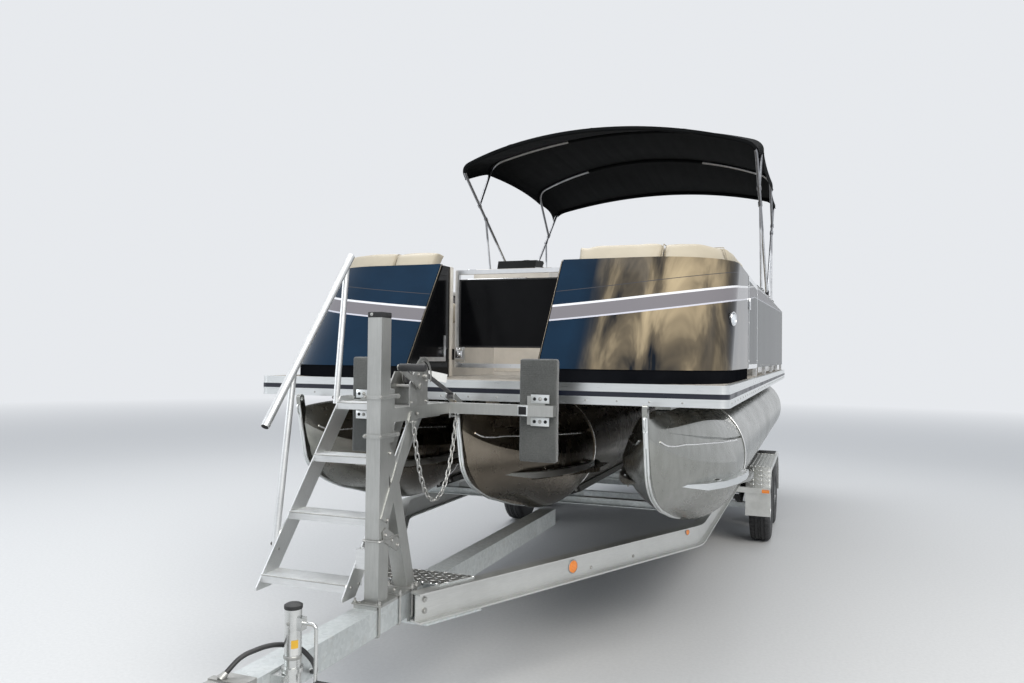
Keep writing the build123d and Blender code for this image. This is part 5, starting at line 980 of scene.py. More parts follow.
def rail_screws():
    """One screw every 155 mm round the rail."""
    kit, height, pitch, inset, size = Kit(), 1.464, 0.155, 0.0035, (0.0055, 0.003)
    for number in range(-7, 8):
        kit.dome((number * pitch, inset, height), (0, -1, 0), *size)
        kit.dome((number * pitch, DECK_END - inset, height), (0, 1, 0), *size)
    for number in range(int(DECK_END / pitch) - 1):
        for side in SIDES:
            kit.dome((side * (BEAM_HALF - inset), 0.15 + number * pitch, height), (side, 0, 0), *size)
    kit.made("rail_screws", "zinc")


def panel_trims():
    """A thin champagne strip along each bow panel's raked edge, and the docking lights' rings."""
    trims, rings = Kit(), Kit()
    low, high = PANEL_BASE + 0.002, PANEL_CREST - 0.001
    for side in SIDES:
        trims.plate([(side * 0.3648, raked(z) + proud, z) for z, proud in
                     ((low, 0.0005), (high, 0.0005), (high, 0.0080), (low, 0.0080))], (side * 0.0016, 0, 0))
        facing = Vector((side, -0.30, 0)).normalized()
        rings.tube(ring(point(side * 1.2600, 0.5560, 1.8805), facing, 0.0335, 36), 0.0048, closed=True)
    trims.made("panel_edge_trims", "champagne")
    rings.made("docking_light_rings", "chrome")


def wall_frames():
    """The pale L-shaped frame low on each black wall, its screws, and the gate's posts."""
    kit, posts = Kit(), Kit()
    for side in SIDES:
        face, step = side * 0.3577, -side * 0.003
        for s0, s1, z0, z1 in ((0.150, 0.470, 1.640, 1.664), (0.446, 0.470, 1.664, 1.790)):
            kit.plate([(face, s0, z0), (face, s0, z1), (face, s1, z1), (face, s1, z0)], (step, 0, 0))
        for s, z in ((0.18, 1.652), (0.31, 1.652), (0.458, 1.70), (0.458, 1.775)):
            kit.dome((face + step, s, z), (-side, 0, 0), 0.004, 0.002)
        posts.block(side * 0.3575, side * 0.3490, 0.516, 0.552, FLOOR_TOP + 0.001, 2.196, 0.002)
    kit.made("wall_frames", "silver_tube")
    posts.made("gate_posts", "console_gelcoat")


def gate_beading():
    """The dark beading round the bow gate's panel, and the latch's chrome."""
    kit, latch = Kit(), Kit()
    x, low, high, wide = 0.3148, 1.7225, 2.1235, 0.009
    for x0, x1, z0, z1 in ((-x, x, low, low + wide), (-x, x, high - wide, high), (-x, wide - x, low, high),
                           (x - wide, x, low, high)):
        kit.block(x0, x1, 0.5615, 0.5675, z0, z1, 0.0008)
        kit.block(x0, x1, 0.5795, 0.5845, z0, z1, 0.0008)
    latch.block(-0.325, -0.280, 0.533, 0.5385, 1.660, 1.701, 0.003)
    latch.lathe((-0.3025, 0.5335, 1.681), (0, -1, 0), [(0, 0.012), (0.004, 0.012), (0.007, 0.008)], 20)
    latch.bent([(-0.318, 0.534, 1.704), (-0.318, 0.520, 1.716), (-0.287, 0.520, 1.716),
                (-0.287, 0.534, 1.704)], 0.008, 0.003)
    kit.made("gate_beading", "nylon", "bow_gate_leaf")
    latch.made("gate_latch_chrome", "chrome", "bow_gate_leaf")


def gate_fittings():
    """Screws and latches of the side and stern gates, and the rivets of the fences."""
    gate, stern, rivets = Kit(), Kit(), Kit()
    for z in (1.66, 1.90, 2.14):
        for s in (1.540, 2.310):
            gate.dome((FENCE_FACE, s, z), (1, 0, 0), 0.005, 0.0025)
    gate.block(1.2635, 1.2720, 1.545, 1.575, 1.985, 2.060, 0.003)
    gate.made("side_gate_fittings", "chrome", "side_gate_leaf")
    stern.block(-0.690, -0.655, 6.2785, 6.2870, 1.985, 2.060, 0.003)
    stern.made("stern_gate_fittings", "chrome", "stern_gate_leaf")
    for side, start, count in ((1, 2.36, 15), (-1, 1.50, 18)):
        for s in (start + number * 0.30 for number in range(count)):
            for z in (1.628, 2.185 + 0.0126 * (s - 1.48)):
                rivets.dome((side * FENCE_FACE, s, z), (side, 0, 0), 0.0045, 0.0022)
    rivets.made("fence_rivets", "zinc")


# Winch stand: post cap, link plate, U-bolts round the tongue, grips, gears and strap details
LINK_PLATE = ((-0.905, 0.958), (-0.880, 0.972), (-0.772, 0.905), (-0.762, 0.872), (-0.790, 0.858),
              (-0.900, 0.920))
TONGUE_HALF = 0.0565
GEAR = (0.0295, -0.590, 1.580)
PINION = (0.0295, -0.655, 1.538)


def post_details():
    """The black cap on the post, the bolts of the stand and the straps round the tongue."""
    cap, bolts, straps = Kit(), Kit(), Kit()
    cap.block(-0.0335, 0.0335, -0.9295, -0.8505, 1.822, 1.8455, 0.003)
    cap.made("post_cap", "nylon")
    bolts.dome((-0.014, -0.9293, 1.835), (0, -1, 0), 0.007, 0.004, 14)
    bolts.bent([(-0.040, -0.79, 0.924), (-0.040, -0.934, 0.924), (0.040, -0.934, 0.924),
                (0.040, -0.79, 0.924)], 0.010, 0.0045)
    for side in SIDES:
        x = side * 0.0365
        for z in (1.343, 1.501):
            bolts.rod((x, -0.945, z), (x, -0.785, z), 0.0045)
            bolts.bolt((x, -0.794, z), (0, 1, 0), 0.0085)
            bolts.bolt((x, -0.9365, z), (0, -1, 0), 0.0065)
        bolts.plate([(side * 0.0335, *spot) for spot in LINK_PLATE], (side * 0.005, 0, 0))
        for s in (-0.950, -0.640):
            bolts.bolt((side * 0.041, s, 0.676), (0, 0, 1), 0.010)
    bolts.side_bolts(0.0385, ((-0.885, 0.942), (-0.835, 0.912), (-0.787, 0.882)), 0.009)
    bolts.side_bolts(0.0325, ((-0.850, 1.268), (-0.800, 0.700)), 0.009)
    bolts.side_bolts(0.0365, ((-0.622, 1.417), (-0.872, 1.000)), 0.009)
    bolts.made("stand_bolts", "zinc")
    for s in (-0.957, -0.790, -0.684, -0.650):
        straps.bent([(-TONGUE_HALF, s, 0.699), (-TONGUE_HALF, s, 0.5565), (TONGUE_HALF, s, 0.5565),
                     (TONGUE_HALF, s, 0.699)], 0.012, 0.0052)
        straps.block(-0.066, 0.066, s - 0.011, s + 0.011, 0.676, 0.682)
        for side in SIDES:
            straps.bolt((side * TONGUE_HALF, s, 0.682), (0, 0, 1), 0.010)
    straps.made("tongue_straps", "zinc")


def arm_details():
    """Open tube ends on the cross arm with painted shade in them, near-black discs as painted shade in the
    holes of the boards' plates, and the plates' bolts.
    """
    ends, dark, bolts = Kit(), Kit(), Kit()
    for side in SIDES:
        ends.block(side * 0.374, side * 0.424, -0.279, -0.270, 1.3965, 1.4475, 0.003)
        # Painted shade: a near-black block in each open tube end, and near-black discs in the plates' holes.
        dark.block(side * 0.380, side * 0.418, -0.2798, -0.272, 1.4035, 1.4405)
        for z0, z1 in ((1.4545, 1.4960), (1.3500, 1.3915)):
            ends.block(side * 0.425, side * 0.515, -0.236, -0.2305, z0, z1)
            for x in (0.443, 0.497):
                dark.disc((side * x, -0.236, (z0 + z1) / 2), (0, -1, 0), 0.0080, 0.001, 14)
            bolts.bolt((side * 0.470, -0.236, (z0 + z1) / 2), (0, -1, 0), 0.008)
    ends.made("arm_ends", "rail_aluminium")
    dark.made("arm_opening_shade", "dark_hole")
    bolts.made("board_bolts", "zinc")


def carpet_boards():
    """The two bow boards with rounded, carpeted edges and a slightly uneven pile."""
    generator, shape = random.Random(7), bmesh.new()
    for side in SIDES:
        x0, x1 = sorted((side * 0.362, side * 0.546))
        eased_block(shape, point(x0, -0.2245, 1.180), point(x1, -0.1770, 1.662), 0.012, 4)
    for _ in range(4):
        long_edges = [edge for edge in shape.edges if edge.calc_length() > 0.016]
        if long_edges:
            bmesh.ops.subdivide_edges(shape, edges=long_edges, cuts=1, use_grid_fill=True)
    shape.normal_update()
    for vert in shape.verts:
        vert.co -= vert.normal * generator.uniform(0.0, 0.0022)
    bmesh.ops.triangulate(shape, faces=[face for face in shape.faces if len(face.verts) > 4])
    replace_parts(finished("carpeted_boards", as_mesh(shape, "boards"), "boat", "carpet"), "bow_boards")


def ribbed(first, last, rib, count, pitch):
    """A grip's profile: its first and last points, and a rib's points repeated between them."""
    return [*first, *((start + number * pitch, radius) for number in range(count) for start, radius in rib),
            *last]


def winch_details():
    """The crank's ribbed grip, the gear's teeth, the ratchet lever and the strap's folded sleeve."""
    grip, gear, sleeve = Kit(), Kit(), Kit()
    grip.lathe((0.068, -0.845, 1.621), (1, 0, 0), ribbed(
        ((0, 0.010), (0.002, 0.0150)), ((0.118, 0.0150), (0.1205, 0.0120)),
        ((0.004, 0.0150), (0.0064, 0.0162), (0.0088, 0.0162), (0.0110, 0.0150)), 15, 0.0074), 24)
    grip.made("winch_grip", "grip_rubber")
    gear.plate([turned(GEAR, "yz", 0.0655 if number % 4 in (1, 2) else 0.0610, turn)
                for number, turn in enumerate(turns(144))], (0.011, 0, 0))
    for number, turn in enumerate(turns(14)):
        gear.disc(turned(PINION, "yz", 0.01125 if number % 2 else 0.0150, turn), (1, 0, 0), 0.005, 0.012, 6)
    gear.disc((0.028, *PINION[1:]), (1, 0, 0), 0.013, 0.0145)
    gear.bent([(0.058, -0.700, 1.578), (0.062, -0.735, 1.600), (0.075, -0.745, 1.606)], 0.01, 0.0045)
    gear.side_bolts(0.0565, (GEAR[1:], PINION[1:]), 0.011)
    gear.side_bolts(0.0500, ((-0.702, 1.470), (-0.568, 1.470), (-0.568, 1.560), (-0.640, 1.588)), 0.007)
    gear.tube([turned((0.046, *GEAR[1:]), "yz", 0.076, math.radians(turn)) for turn in range(-20, 171, 10)],
              0.008, 6, flat=0.25)
    gear.made("winch_gears", "zinc")
    strap = (point(0, -0.205, 1.489) - point(0, -0.590, 1.632)).normalized()
    normal = Vector((0, -strap.z, strap.y))
    middle = point(0, -0.365, 1.5485) + normal * 0.026
    leaf = Vector((0.75, 0.55, -0.20)).normalized()
    for shift, share in ((0.0, 0.046), (0.0055, 0.034)):
        sleeve.plate(rectangle(middle + Vector((shift, -shift, 0)), leaf * share, normal * 0.021),
                     (0.0011, -0.0013, 0))
    sleeve.made("strap_sleeve", "white_web")


def round_chain():
    """The safety chain's links as welded round bar, each where its CAD link is."""
    links = sorted((sum((v.co for v in shell.verts), Vector()) / len(shell.verts)
                    for shell in shells("safety_chain")), key=lambda spot: spot.y)
    kit, reach, width, wire = Kit(), 0.0183, 0.0083, 0.0035
    for number, centre in enumerate(links):
        heading = (links[min(number + 1, len(links) - 1)] - links[max(number - 1, 0)]).normalized()
        side = Vector((1, 0, 0)) if number % 2 else Vector((1, 0, 0)).cross(heading).normalized()
        line = []
        for end in (1, -1):
            for turn in (math.pi * step / 6 - math.pi / 2 for step in range(7)):
                line.append(centre + heading * end * (reach - width + width * math.cos(turn))
                            + side * end * width * math.sin(turn))
        kit.tube(line, wire, closed=True)
    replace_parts(kit.made("chain_links", "zinc", sharp=60), "safety_chain")


def ladder_details():
    """Ribs along each tread, its end bolts, and near-black discs in the open ends of the hand rails as
    painted shade.
    """
    ribs, bolts, ends = Kit(), Kit(), Kit()
    for s, z in ((-0.984 + 0.181 * number, 0.752 + 0.230 * number) for number in range(4)):
        for middle in (s + 0.012 + rib * 0.016 for rib in range(7)):
            ribs.block(-0.489, -0.086, middle - 0.0022, middle + 0.0022, z - 0.0002, z + 0.0022, 0.0006)
        for x, side in ((-0.4975, -1), (-0.0775, 1)):
            for inset in (0.030, 0.090):
                bolts.dome((x, s + inset, z - 0.016), (side, 0, 0), 0.007, 0.004, 12)
        bolts.tube([(x, s - 0.001, z - 0.001) for x in (-0.490, -0.086)], 0.0028)
    for s, z in ((-0.900, 0.826), (-0.900, 0.862), (-0.880, 0.844)):
        bolts.bolt((-0.072, s, z), (-1, 0, 0), 0.006)
    low, high = point(-0.511, -0.953, 1.362), point(-0.511, -0.308, 2.164)
    away = (low - high).normalized()
    # Painted shade: a near-black disc just inside each open end of the hand rail.
    for place, axis in ((low, away), (high, -away)):
        ends.disc(place - axis * 0.004, axis, 0.0165, 0.0045, 20)
    for s, z in ((-0.873, 0.834), (-0.422, 1.444)):
        bolts.disc((-0.511, s, z), (1, 0, 0), 0.006, 0.022, 12)
        bolts.bolt((-0.5265, s, z + 0.020), (-1, 0, 0), 0.007)
    ribs.made("tread_ribs", "ladder_aluminium")
    bolts.made("ladder_bolts", "zinc")
    ends.made("rail_end_shade", "dark_hole")


# Jack and coupler
JACK = (0.104, -1.580)
LATCH = ((-2.060, 0.652), (-2.048, 0.690), (-1.985, 0.712), (-1.900, 0.704), (-1.900, 0.692),
         (-1.980, 0.698), (-2.034, 0.676), (-2.044, 0.645))


def jack_details():
    """The jack's black cap and ribbed crank grip, its labels and bolts, and the coupler's latch."""
    cap, bolts = Kit(), Kit()
    cap.lathe((*JACK, 0.858), (0, 0, 1), [(0, 0.0285), (0.002, 0.0295), (0.012, 0.0295), (0.0165, 0.022),
                                          (0.0175, 0.010)], 28)
    cap.lathe((0.186, -1.580, 0.624), (1, 0, 0), ribbed(
        ((0, 0.0100), (0.002, 0.0155)), ((0.109, 0.0150), (0.1115, 0.0120)),
        ((0.006, 0.0155), (0.008, 0.0172), (0.012, 0.0172), (0.014, 0.0155)), 11, 0.009), 24)
    cap.made("jack_cap_and_grip", "grip_rubber")
    for s in (-1.612, -1.548):
        for z in (0.590, 0.636):
            bolts.bolt((0.0515, s, z), (1, 0, 0), 0.008)
    bolts.tube([turned((*JACK, 0.7065), "xy", 0.0278, turn) for turn in turns(32)], 0.0018, closed=True,
               flat=3.4)
    for side in SIDES:
        bolts.dome((JACK[0], JACK[1] + side * 0.0270, 0.816), (0, side, 0), 0.006, 0.003, 12)
    bolts.side_bolts(0.0665, [(s, z) for s in (-1.915, -1.788) for z in (0.588, 0.640)], 0.010)
    bolts.plate([(-0.013, *spot) for spot in LATCH], (0.026, 0, 0))
    bolts.rod((-0.030, -2.040, 0.668), (0.030, -2.040, 0.668), 0.006)
    bolts.lathe((0, -2.078, 0.644), (0, 0, 1), [(0, 0.030), (0.006, 0.030), (0.010, 0.020), (0.018, 0.012)],
                20)
    bolts.block(-0.0475, 0.0475, -1.846, -1.832, 0.677, 0.690, 0.003)
    bolts.made("coupler_fittings", "zinc")
    for name, low, high, material in (("jack_label", 0.716, 0.738, "white_web"),
                                      ("jack_label_top", 0.738, 0.764, "label_yellow")):
        label = Kit()
        label.plate([turned((*JACK, low), "xy", reach, math.radians(turn))
                     for reach, angles in ((0.02790, range(-66, -17, 6)), (0.02765, range(-18, -67, -6)))
                     for turn in angles], (0, 0, high - low))
        label.made(name, material)


# Trailer: reflectors, beam bolts, bunk end plates, tyres and lug nuts
BEAM_NOSE = (0.090, -0.720)
BEAM_TURN = (1.000, 1.200)
TUBE_CENTRES = (-0.937, 0.0, 0.937)
TUBE_HEIGHT = 1.088
BUNK_REACH = 0.3433
TREAD_PLATE = ((-0.140, -0.585), (0.140, -0.585), (0.225, -0.410), (-0.225, -0.410))


def beam_side(distance, height, side):
    """A spot 3 mm off the outer face of a slanting beam's web, and the direction it faces."""
    run = Vector((BEAM_TURN[0] - BEAM_NOSE[0], BEAM_TURN[1] - BEAM_NOSE[1], 0)).normalized()
    facing = Vector((run.y * side, -run.x, 0))
    x = BEAM_NOSE[0] + (distance - BEAM_NOSE[1]) * run.x / run.y
    return point(x * side, distance, height) + facing * 0.003, facing


def trailer_details():
    """Round reflectors, bolts at the beams' front ends and plates on the bunks' front ends."""
    reflectors, bolts, plates, tread = Kit(), Kit(), Kit(), Kit()
    for side in SIDES:
        for distance, radius, height in ((0.172, 0.031, 0.612), (1.090, 0.017, 0.640)):
            spot = beam_side(distance, height, side)
            reflectors.lathe(*spot, [(0, radius), (0.004, radius), (0.007, radius * 0.82),
                                     (0.008, 0.3 * radius)], 28)
            bolts.lathe(*spot, [(0, radius * 1.12), (0.003, radius * 1.12), (0.004, radius * 1.04)], 28)
        for distance, height, size in ((-0.677, 0.588, 0.012), (-0.677, 0.636, 0.012), (0.30, 0.583, 0.008),
                                       (0.62, 0.583, 0.008)):
            bolts.bolt(*beam_side(distance, height, side), size)
        for x in TUBE_CENTRES:
            lean = math.radians(20) * side
            wide = Vector((math.cos(lean), 0, math.sin(lean)))
            tall = Vector((-math.sin(lean), 0, math.cos(lean)))
            middle = point(x, 1.4485, TUBE_HEIGHT) - tall * BUNK_REACH
            plates.plate(rectangle(middle, wide * 0.069, tall * 0.018), (0, -0.005, 0))
            for reach in (-0.045, 0.045):
                bolts.bolt(middle + wide * reach + Vector((0, -0.005, 0)), (0, -1, 0), 0.008)
    reflectors.made("reflectors", "lamp")
    bolts.made("trailer_bolts", "zinc")
    plates.made("bunk_end_plates", "spring_steel")
    tread.plate([(*spot, 0.6764) for spot in TREAD_PLATE], (0, 0, 0.003))
    tread.made("tongue_tread_plate", "diamond_plate")


TYRE_PROFILE = (
    # x from the middle, radius
    (-0.0705, 0.1672), (-0.0830, 0.1760), (-0.0870, 0.1840), (-0.0895, 0.2000), (-0.0915, 0.2200),
    (-0.0925, 0.2420), (-0.0915, 0.2600), (-0.0895, 0.2700), (-0.0905, 0.2730), (-0.0880, 0.2800),
    (-0.0845, 0.2900), (-0.0800, 0.2985), (-0.0735, 0.3055), (-0.0640, 0.3095), (-0.0500, 0.3118),
    (-0.0460, 0.3120), (-0.0450, 0.3050), (-0.0370, 0.3050), (-0.0360, 0.3125), (-0.0140, 0.3130),
    (-0.0130, 0.3055), (-0.0050, 0.3055), (-0.0040, 0.3130),
)
TREAD_STEPS = 264
TREAD_RADIUS = 0.3128
HUB_X, HUB_HEIGHT = 1.192, 0.313


def tread_cut(x, radius, step):
    """How deep the tyre is cut at a point of its profile: shoulder lugs, and fine slots in the ribs."""
    if abs(x) < 0.047 and radius > 0.310 and (step + (3 if x > 0 else 0)) % 8 == 7:
        return 0.0025
    return 0.0045 if 0.0500 <= abs(x) <= 0.0845 and radius > 0.285 and step % 6 in (4, 5) else 0.0


def tyres():
    """Trailer tyres with ribbed tread, shoulder lugs and ringed side walls; the lug nuts and valve."""
    profile = list(TYRE_PROFILE) + [(-x, radius) for x, radius in TYRE_PROFILE[::-1]]
    for end_name, distance in (("front", 4.050), ("rear", 4.863)):
        for side_name, side in (("port", 1), ("starboard", -1)):
            place = f"{end_name}_{side_name}"
            hub, outward = point(side * HUB_X, distance, HUB_HEIGHT), (side, 0, 0)
            tyre, nuts, rings = Kit(), Kit(), []
            for step, turn in enumerate(turns(TREAD_STEPS)):
                section = [(x, min(radius, TREAD_RADIUS) - tread_cut(x, radius, step))
                           for x, radius in profile]
                rings.append([hub + Vector((x, math.sin(turn) * radius, math.cos(turn) * radius))
                              for x, radius in section])
            tyre.skin(rings, closed=True)
            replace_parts(tyre.made(f"tyre_tread_{place}", "tyre", f"wheel_{place}", 30), f"tyre_{place}")
            for turn in (math.radians(36 + 72 * number) for number in range(5)):
                nuts.lathe(turned(hub + Vector((side * 0.0575, 0, 0)), "zy", 0.047, turn), outward,
                           [(0, 0.0095), (0.013, 0.0095), (0.017, 0.006)], 6)
            for turn in turns(30):
                nuts.dome(turned(hub + Vector((side * 0.0430, 0, 0)), "zy", 0.147, turn), outward, 0.0035,
                          0.003, 8)
            valve = hub + Vector((side * 0.050, 0.0, 0.150))
            nuts.rod(valve, valve + Vector((side * 0.034, 0, 0.006)), 0.0045, 10)
            nuts.made(f"wheel_nuts_{place}", "chrome", f"wheel_{place}")


def fender_pads():
    """Ribbed black rubber on each fender's step, and the black ends of the front ledges."""
    kit, edges = Kit(), Kit()
    for side in SIDES:
        for s in (4.838 + number * 0.0205 for number in range(13)):
            kit.block(side * 1.104, side * 1.274, s, s + 0.0125, 0.7085, 0.7140, 0.0012)
        edges.block(side * 1.276, side * 1.2945, 3.588, 3.6195, 0.499, 0.5425, 0.002)
    kit.made("fender_pads", "grip_rubber")
    edges.made("ledge_ends", "nylon")


# Pontoon noses: lifting fins with turned-down lips, keel beads with an eye, pleat welds and seam rings
SEAM_STATION = 1.300
SEAM_RADIUS = 0.3285
FIN_TOP = 1.0225
FIN_ROWS = (
    # station, reach of the root from the tube's middle, width, rise
    (0.20, 0.082, 0.005, 0.030), (0.30, 0.126, 0.022, 0.022), (0.42, 0.172, 0.044, 0.014),
    (0.60, 0.236, 0.046, 0.006), (0.80, 0.286, 0.046, 0.002), (1.00, 0.3125, 0.043, 0.0),
    (1.17, 0.318, 0.0375, 0.0),
)
FIN_WELDS = (
    # station, reach, height of the middle
    (0.60, 0.252, 1.032), (0.82, 0.3265, 1.026), (1.07, 0.330, 1.026),
)
PLEAT_WELD = (
    # station, reach, height
    (-0.016, 0.0491, 1.2814), (0.025, 0.0698, 1.2597), (0.110, 0.1025, 1.2504), (0.193, 0.1276, 1.2531),
    (0.293, 0.1590, 1.2448), (0.435, 0.1968, 1.2378), (0.663, 0.2465, 1.2234), (0.881, 0.2771, 1.2123),
    (1.081, 0.2949, 1.2001),
)
KEEL_LINE = (
    # station, height
    (-0.1308, 1.400), (-0.1217, 1.360), (-0.1077, 1.300), (-0.0961, 1.250), (-0.0846, 1.200),
    (-0.0730, 1.150), (-0.0536, 1.100), (-0.0113, 1.050), (0.0591, 1.000), (0.1657, 0.950),
    (0.3005, 0.900), (0.4575, 0.860), (0.5665, 0.830), (0.6476, 0.810), (0.7371, 0.790), (0.8377, 0.770),
)
EYE_BASE = ((-0.1157, 1.334), (-0.1100, 1.310), (-0.1031, 1.280), (-0.0984, 1.260))
EYE_LINE = ((-0.122, 1.345), (-0.142, 1.362), (-0.146, 1.395), (-0.128, 1.402))


def fin_section(root, width, rise):
    """A lifting fin's section, as (reach, height) pairs."""
    outer, top, lip = root + width, FIN_TOP + rise, 0.034 * min(1.0, width / 0.04)
    return ((root - 0.008, top + 0.002), (outer, top), (outer + 0.0025, top - lip),
            (outer - 0.0010, top - lip), (outer - 0.0035, top - 0.0040), (root - 0.008, top - 0.0020))


def nose_details():
    """Fins, keel beads, eyes and weld lines of the three noses."""
    fins, welds = Kit(), Kit()
    for centre in TUBE_CENTRES:
        for side in SIDES:
            fins.skin([[point(centre + side * reach, distance, height)
                        for reach, height in fin_section(*shape)] for distance, *shape in FIN_ROWS])
            for distance, reach, height in FIN_WELDS:
                welds.tube([(centre + side * (reach + step * 0.12), distance + step, height)
                            for step in (-0.028, -0.014, 0, 0.014, 0.028)], 0.0045, flat=0.6)
            welds.bent([(centre + side * (reach + 0.0015), distance, height)
                        for distance, reach, height in PLEAT_WELD], 0.05, 0.0042, steps=3)
            fins.bent([(centre + side * 0.0062, distance - 0.0005, height) for distance, height in KEEL_LINE],
                      0.03, 0.0062, steps=3)
        fins.tube([(centre, distance - 0.002, height) for distance, height in EYE_BASE], 0.0122, 10)
        fins.bent([(centre, *spot) for spot in EYE_LINE], 0.012, 0.0055, 10)
        welds.tube([turned((centre, SEAM_STATION, TUBE_HEIGHT), "xz", SEAM_RADIUS, math.radians(turn))
                    for turn in range(-240, 61, 4)], 0.0042)
    fins.made("nose_fins_and_keels", "rail_aluminium")
    welds.made("nose_welds", "weld")


# Helm: gauges, switches, throttle and cup holders on the console
DASH_TOP, DASH_LOW = (2.860, 2.434), (3.020, 2.224)


def helm_details():
    """Dash furniture on the console's sloping face, behind the hood."""
    bezels, faces, black = Kit(), Kit(), Kit()
    slope = (point(0, *DASH_LOW) - point(0, *DASH_TOP)).normalized()
    normal = Vector((0, -slope.z, slope.y))
    for x, radius, share in ((-0.985, 0.034, 0.16), (-0.870, 0.044, 0.20), (-0.755, 0.044, 0.20),
                             (-0.640, 0.044, 0.20), (-0.525, 0.034, 0.16)):
        middle = point(x, *along(DASH_TOP, DASH_LOW, share))
        bezels.lathe(middle, normal, [(0, radius), (0.006, radius), (0.009, radius * 0.90),
                                      (0.007, radius * 0.84)], 32)
        faces.disc(middle + normal * 0.0065, normal, radius * 0.86, 0.001, 32)
    for x in (start + number * 0.034 for number in range(4) for start in (-1.080, -0.520)):
        black.plate(rectangle(point(x, *along(DASH_TOP, DASH_LOW, 0.42)), Vector((0.011, 0, 0)),
                              slope * 0.020), normal * 0.007)
    base = point(-0.500, 2.960, 2.312)
    black.lathe(base, normal, [(0, 0.045), (0.020, 0.045), (0.030, 0.036)], 28)
    bezels.rod(base + normal * 0.02, base + normal * 0.135 + slope * 0.03, 0.009)
    black.lathe(base + normal * 0.125 + slope * 0.03, normal,
                [(0, 0.012), (0.004, 0.020), (0.030, 0.022), (0.038, 0.012)], 20)
    for x in (-1.195, -0.575):
        bezels.lathe((x, 2.735, 2.4335), (0, 0, 1), [(0, 0.048), (0.004, 0.048), (0.005, 0.044),
                                                     (0.001, 0.042)], 32)
        faces.disc((x, 2.735, 2.4340), (0, 0, 1), 0.0415, 0.001, 32)
    bezels.bent([(-1.19, 2.655, 2.30), (-1.19, 2.575, 2.33), (-0.60, 2.575, 2.33), (-0.60, 2.655, 2.30)],
                0.05, 0.0125, 12, 8)
    bezels.made("helm_bezels", "chrome")
    faces.made("helm_dials", "dial")
    black.made("helm_controls", "nylon")


def cowl_band(kit, height, share, proud, tall):
    """A band round the outboard's cowl, which has rounded corners."""
    radius, outline = 0.124 * share, []
    for number, (a, b) in enumerate(((1, 1), (-1, 1), (-1, -1), (1, -1))):
        corner = (a * (0.200 * share - radius), 7.505 + b * (0.270 * share - radius), height)
        outline += [turned(corner, "xy", radius + proud, math.radians(number * 90 + step * 11.25))
                    for step in range(9)]
    kit.plate(outline, (0, 0, tall))


def outboard_details():
    """A seam band and a bright band round the cowl, and its rear latch."""
    seam, trim = Kit(), Kit()
    cowl_band(seam, 1.690, 0.995, 0.0035, 0.012)
    cowl_band(trim, 1.712, 1.0, 0.0030, 0.006)
    seam.block(-0.030, 0.030, 7.768, 7.7815, 1.655, 1.700, 0.003)
    trim.made("cowl_bright_band", "chrome", "outboard")
    seam.made("cowl_seam_band", "nylon", "outboard")


cushions("seat_cushion_set", "seat_cushions", "boat", SEAT_CUTS)
cushions("back_cushion_set", "back_cushions", "boat", BACK_CUTS)
cushions("helm_chair_set", "helm_chair", "helm_seat", CHAIR_CUTS, voxel=0.012)
for build in (rail_screws, panel_trims, wall_frames, gate_beading, bimini_fittings, post_details, arm_details,
              carpet_boards, winch_details, round_chain, ladder_details, jack_details, trailer_details,
              nose_details, tyres, fender_pads, helm_details, outboard_details, gate_fittings, canopy):
    build()


# Stage, light and camera
def pale_floor():
    """A wide pale disc that runs into the background far from the object."""
    made = Finish("floor", (0.62, 0.62, 0.615), 0.9)
    grain = made.noise(45, 5, 0.65)
    made.give(Base_Color=made.mix(made.spread(grain, 0.3, 0.7), (0.595, 0.595, 0.59), (0.645, 0.645, 0.64)))
    away = made.node("VectorMath", {0: made.place}, "Value", operation="LENGTH")
    seen = made.math("MAXIMUM", *(made.node("LightPath", output=f"Is {kind} Ray")
                                  for kind in ("Camera", "Glossy")))
    glow = made.node("Emission", {"Color": BACKGROUND})
    blend = made.node("MixShader", {0: made.times(made.spread(away, *FLOOR_FADE), seen),
                                    1: made.shader.outputs[0], 2: glow})
    feed(made.tree, made.tree.nodes["Material Output"].inputs["Surface"], blend)
    shape = bmesh.new()
    bmesh.ops.create_circle(shape, cap_ends=True, segments=96, radius=FLOOR_RADIUS)
    floor = linked("floor", as_mesh(shape, "floor"))
    floor.data.materials.append(made.material)
    floor.location.z = CAD_BOX[0][2] - 0.0005


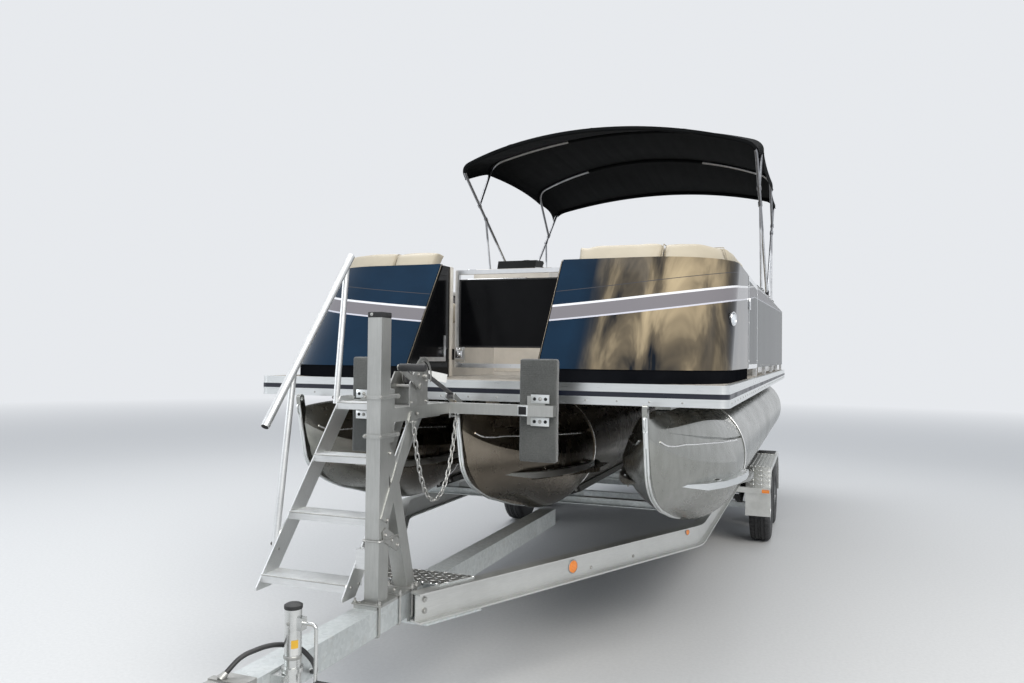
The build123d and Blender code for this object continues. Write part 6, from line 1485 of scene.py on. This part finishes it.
def soft_world():
    """Even light all round, and a pale background for what the camera and gloss see."""
    world = bpy.context.scene.world = bpy.data.worlds.new("studio")
    world.use_nodes = True
    tree = world.node_tree
    tree.nodes.clear()
    camera_ray, glossy, clear = (add_node(tree, "LightPath", output=f"Is {kind} Ray")
                                 for kind in ("Camera", "Glossy", "Transmission"))
    seen = add_node(tree, "Math", {0: camera_ray, 1: glossy}, operation="MAXIMUM")
    either = add_node(tree, "Math", {0: seen, 1: clear}, operation="MAXIMUM")
    light = add_node(tree, "Background", {"Color": (0.80, 0.87, 0.97), "Strength": 0.62})
    shown = add_node(tree, "Background", {"Color": BACKGROUND})
    add_node(tree, "OutputWorld", {"Surface": add_node(tree, "MixShader", {0: either, 1: light, 2: shown})})


def area_light(name, place, target, size, power, colour=(1, 1, 1)):
    """A square soft box that looks at a point."""
    data = bpy.data.lights.new(name, "AREA")
    data.shape = "SQUARE"
    data.size = size
    data.energy = power
    data.color = colour
    made = linked(name, data)
    made.location = place
    made.rotation_euler = (Vector(target) - Vector(place)).to_track_quat("-Z", "Y").to_euler()


def camera():
    """The camera at the photograph's viewpoint."""
    forward = Vector((-math.sin(CAMERA_YAW) * math.cos(CAMERA_PITCH),
                      math.cos(CAMERA_YAW) * math.cos(CAMERA_PITCH), math.sin(CAMERA_PITCH)))
    level = Vector((math.cos(CAMERA_YAW), math.sin(CAMERA_YAW), 0))
    right = level * math.cos(CAMERA_ROLL) + level.cross(forward) * math.sin(CAMERA_ROLL)
    data = bpy.data.cameras.new("camera")
    data.sensor_width = SENSOR_WIDTH
    data.lens = FOCAL_PIXELS / PHOTO_WIDTH * SENSOR_WIDTH
    data.clip_end = 300
    made = bpy.context.scene.camera = linked("camera", data)
    facing = Matrix((right, right.cross(forward), -forward)).transposed().to_4x4()
    made.matrix_world = Matrix.Translation(CAMERA_PLACE) @ facing


pale_floor()
soft_world()
area_light("key", (7, -9, 9), (0, -0.5, 1.2), 7, 1150, (1.0, 0.97, 0.92))
area_light("overhead", (-2, 1, 11), (0, 0, 1), 10, 800)
area_light("fill", (-9, -7, 5), (0, -1, 1.2), 6, 260, (0.92, 0.96, 1.0))
camera()
bpy.context.scene.view_settings.view_transform = "Standard"
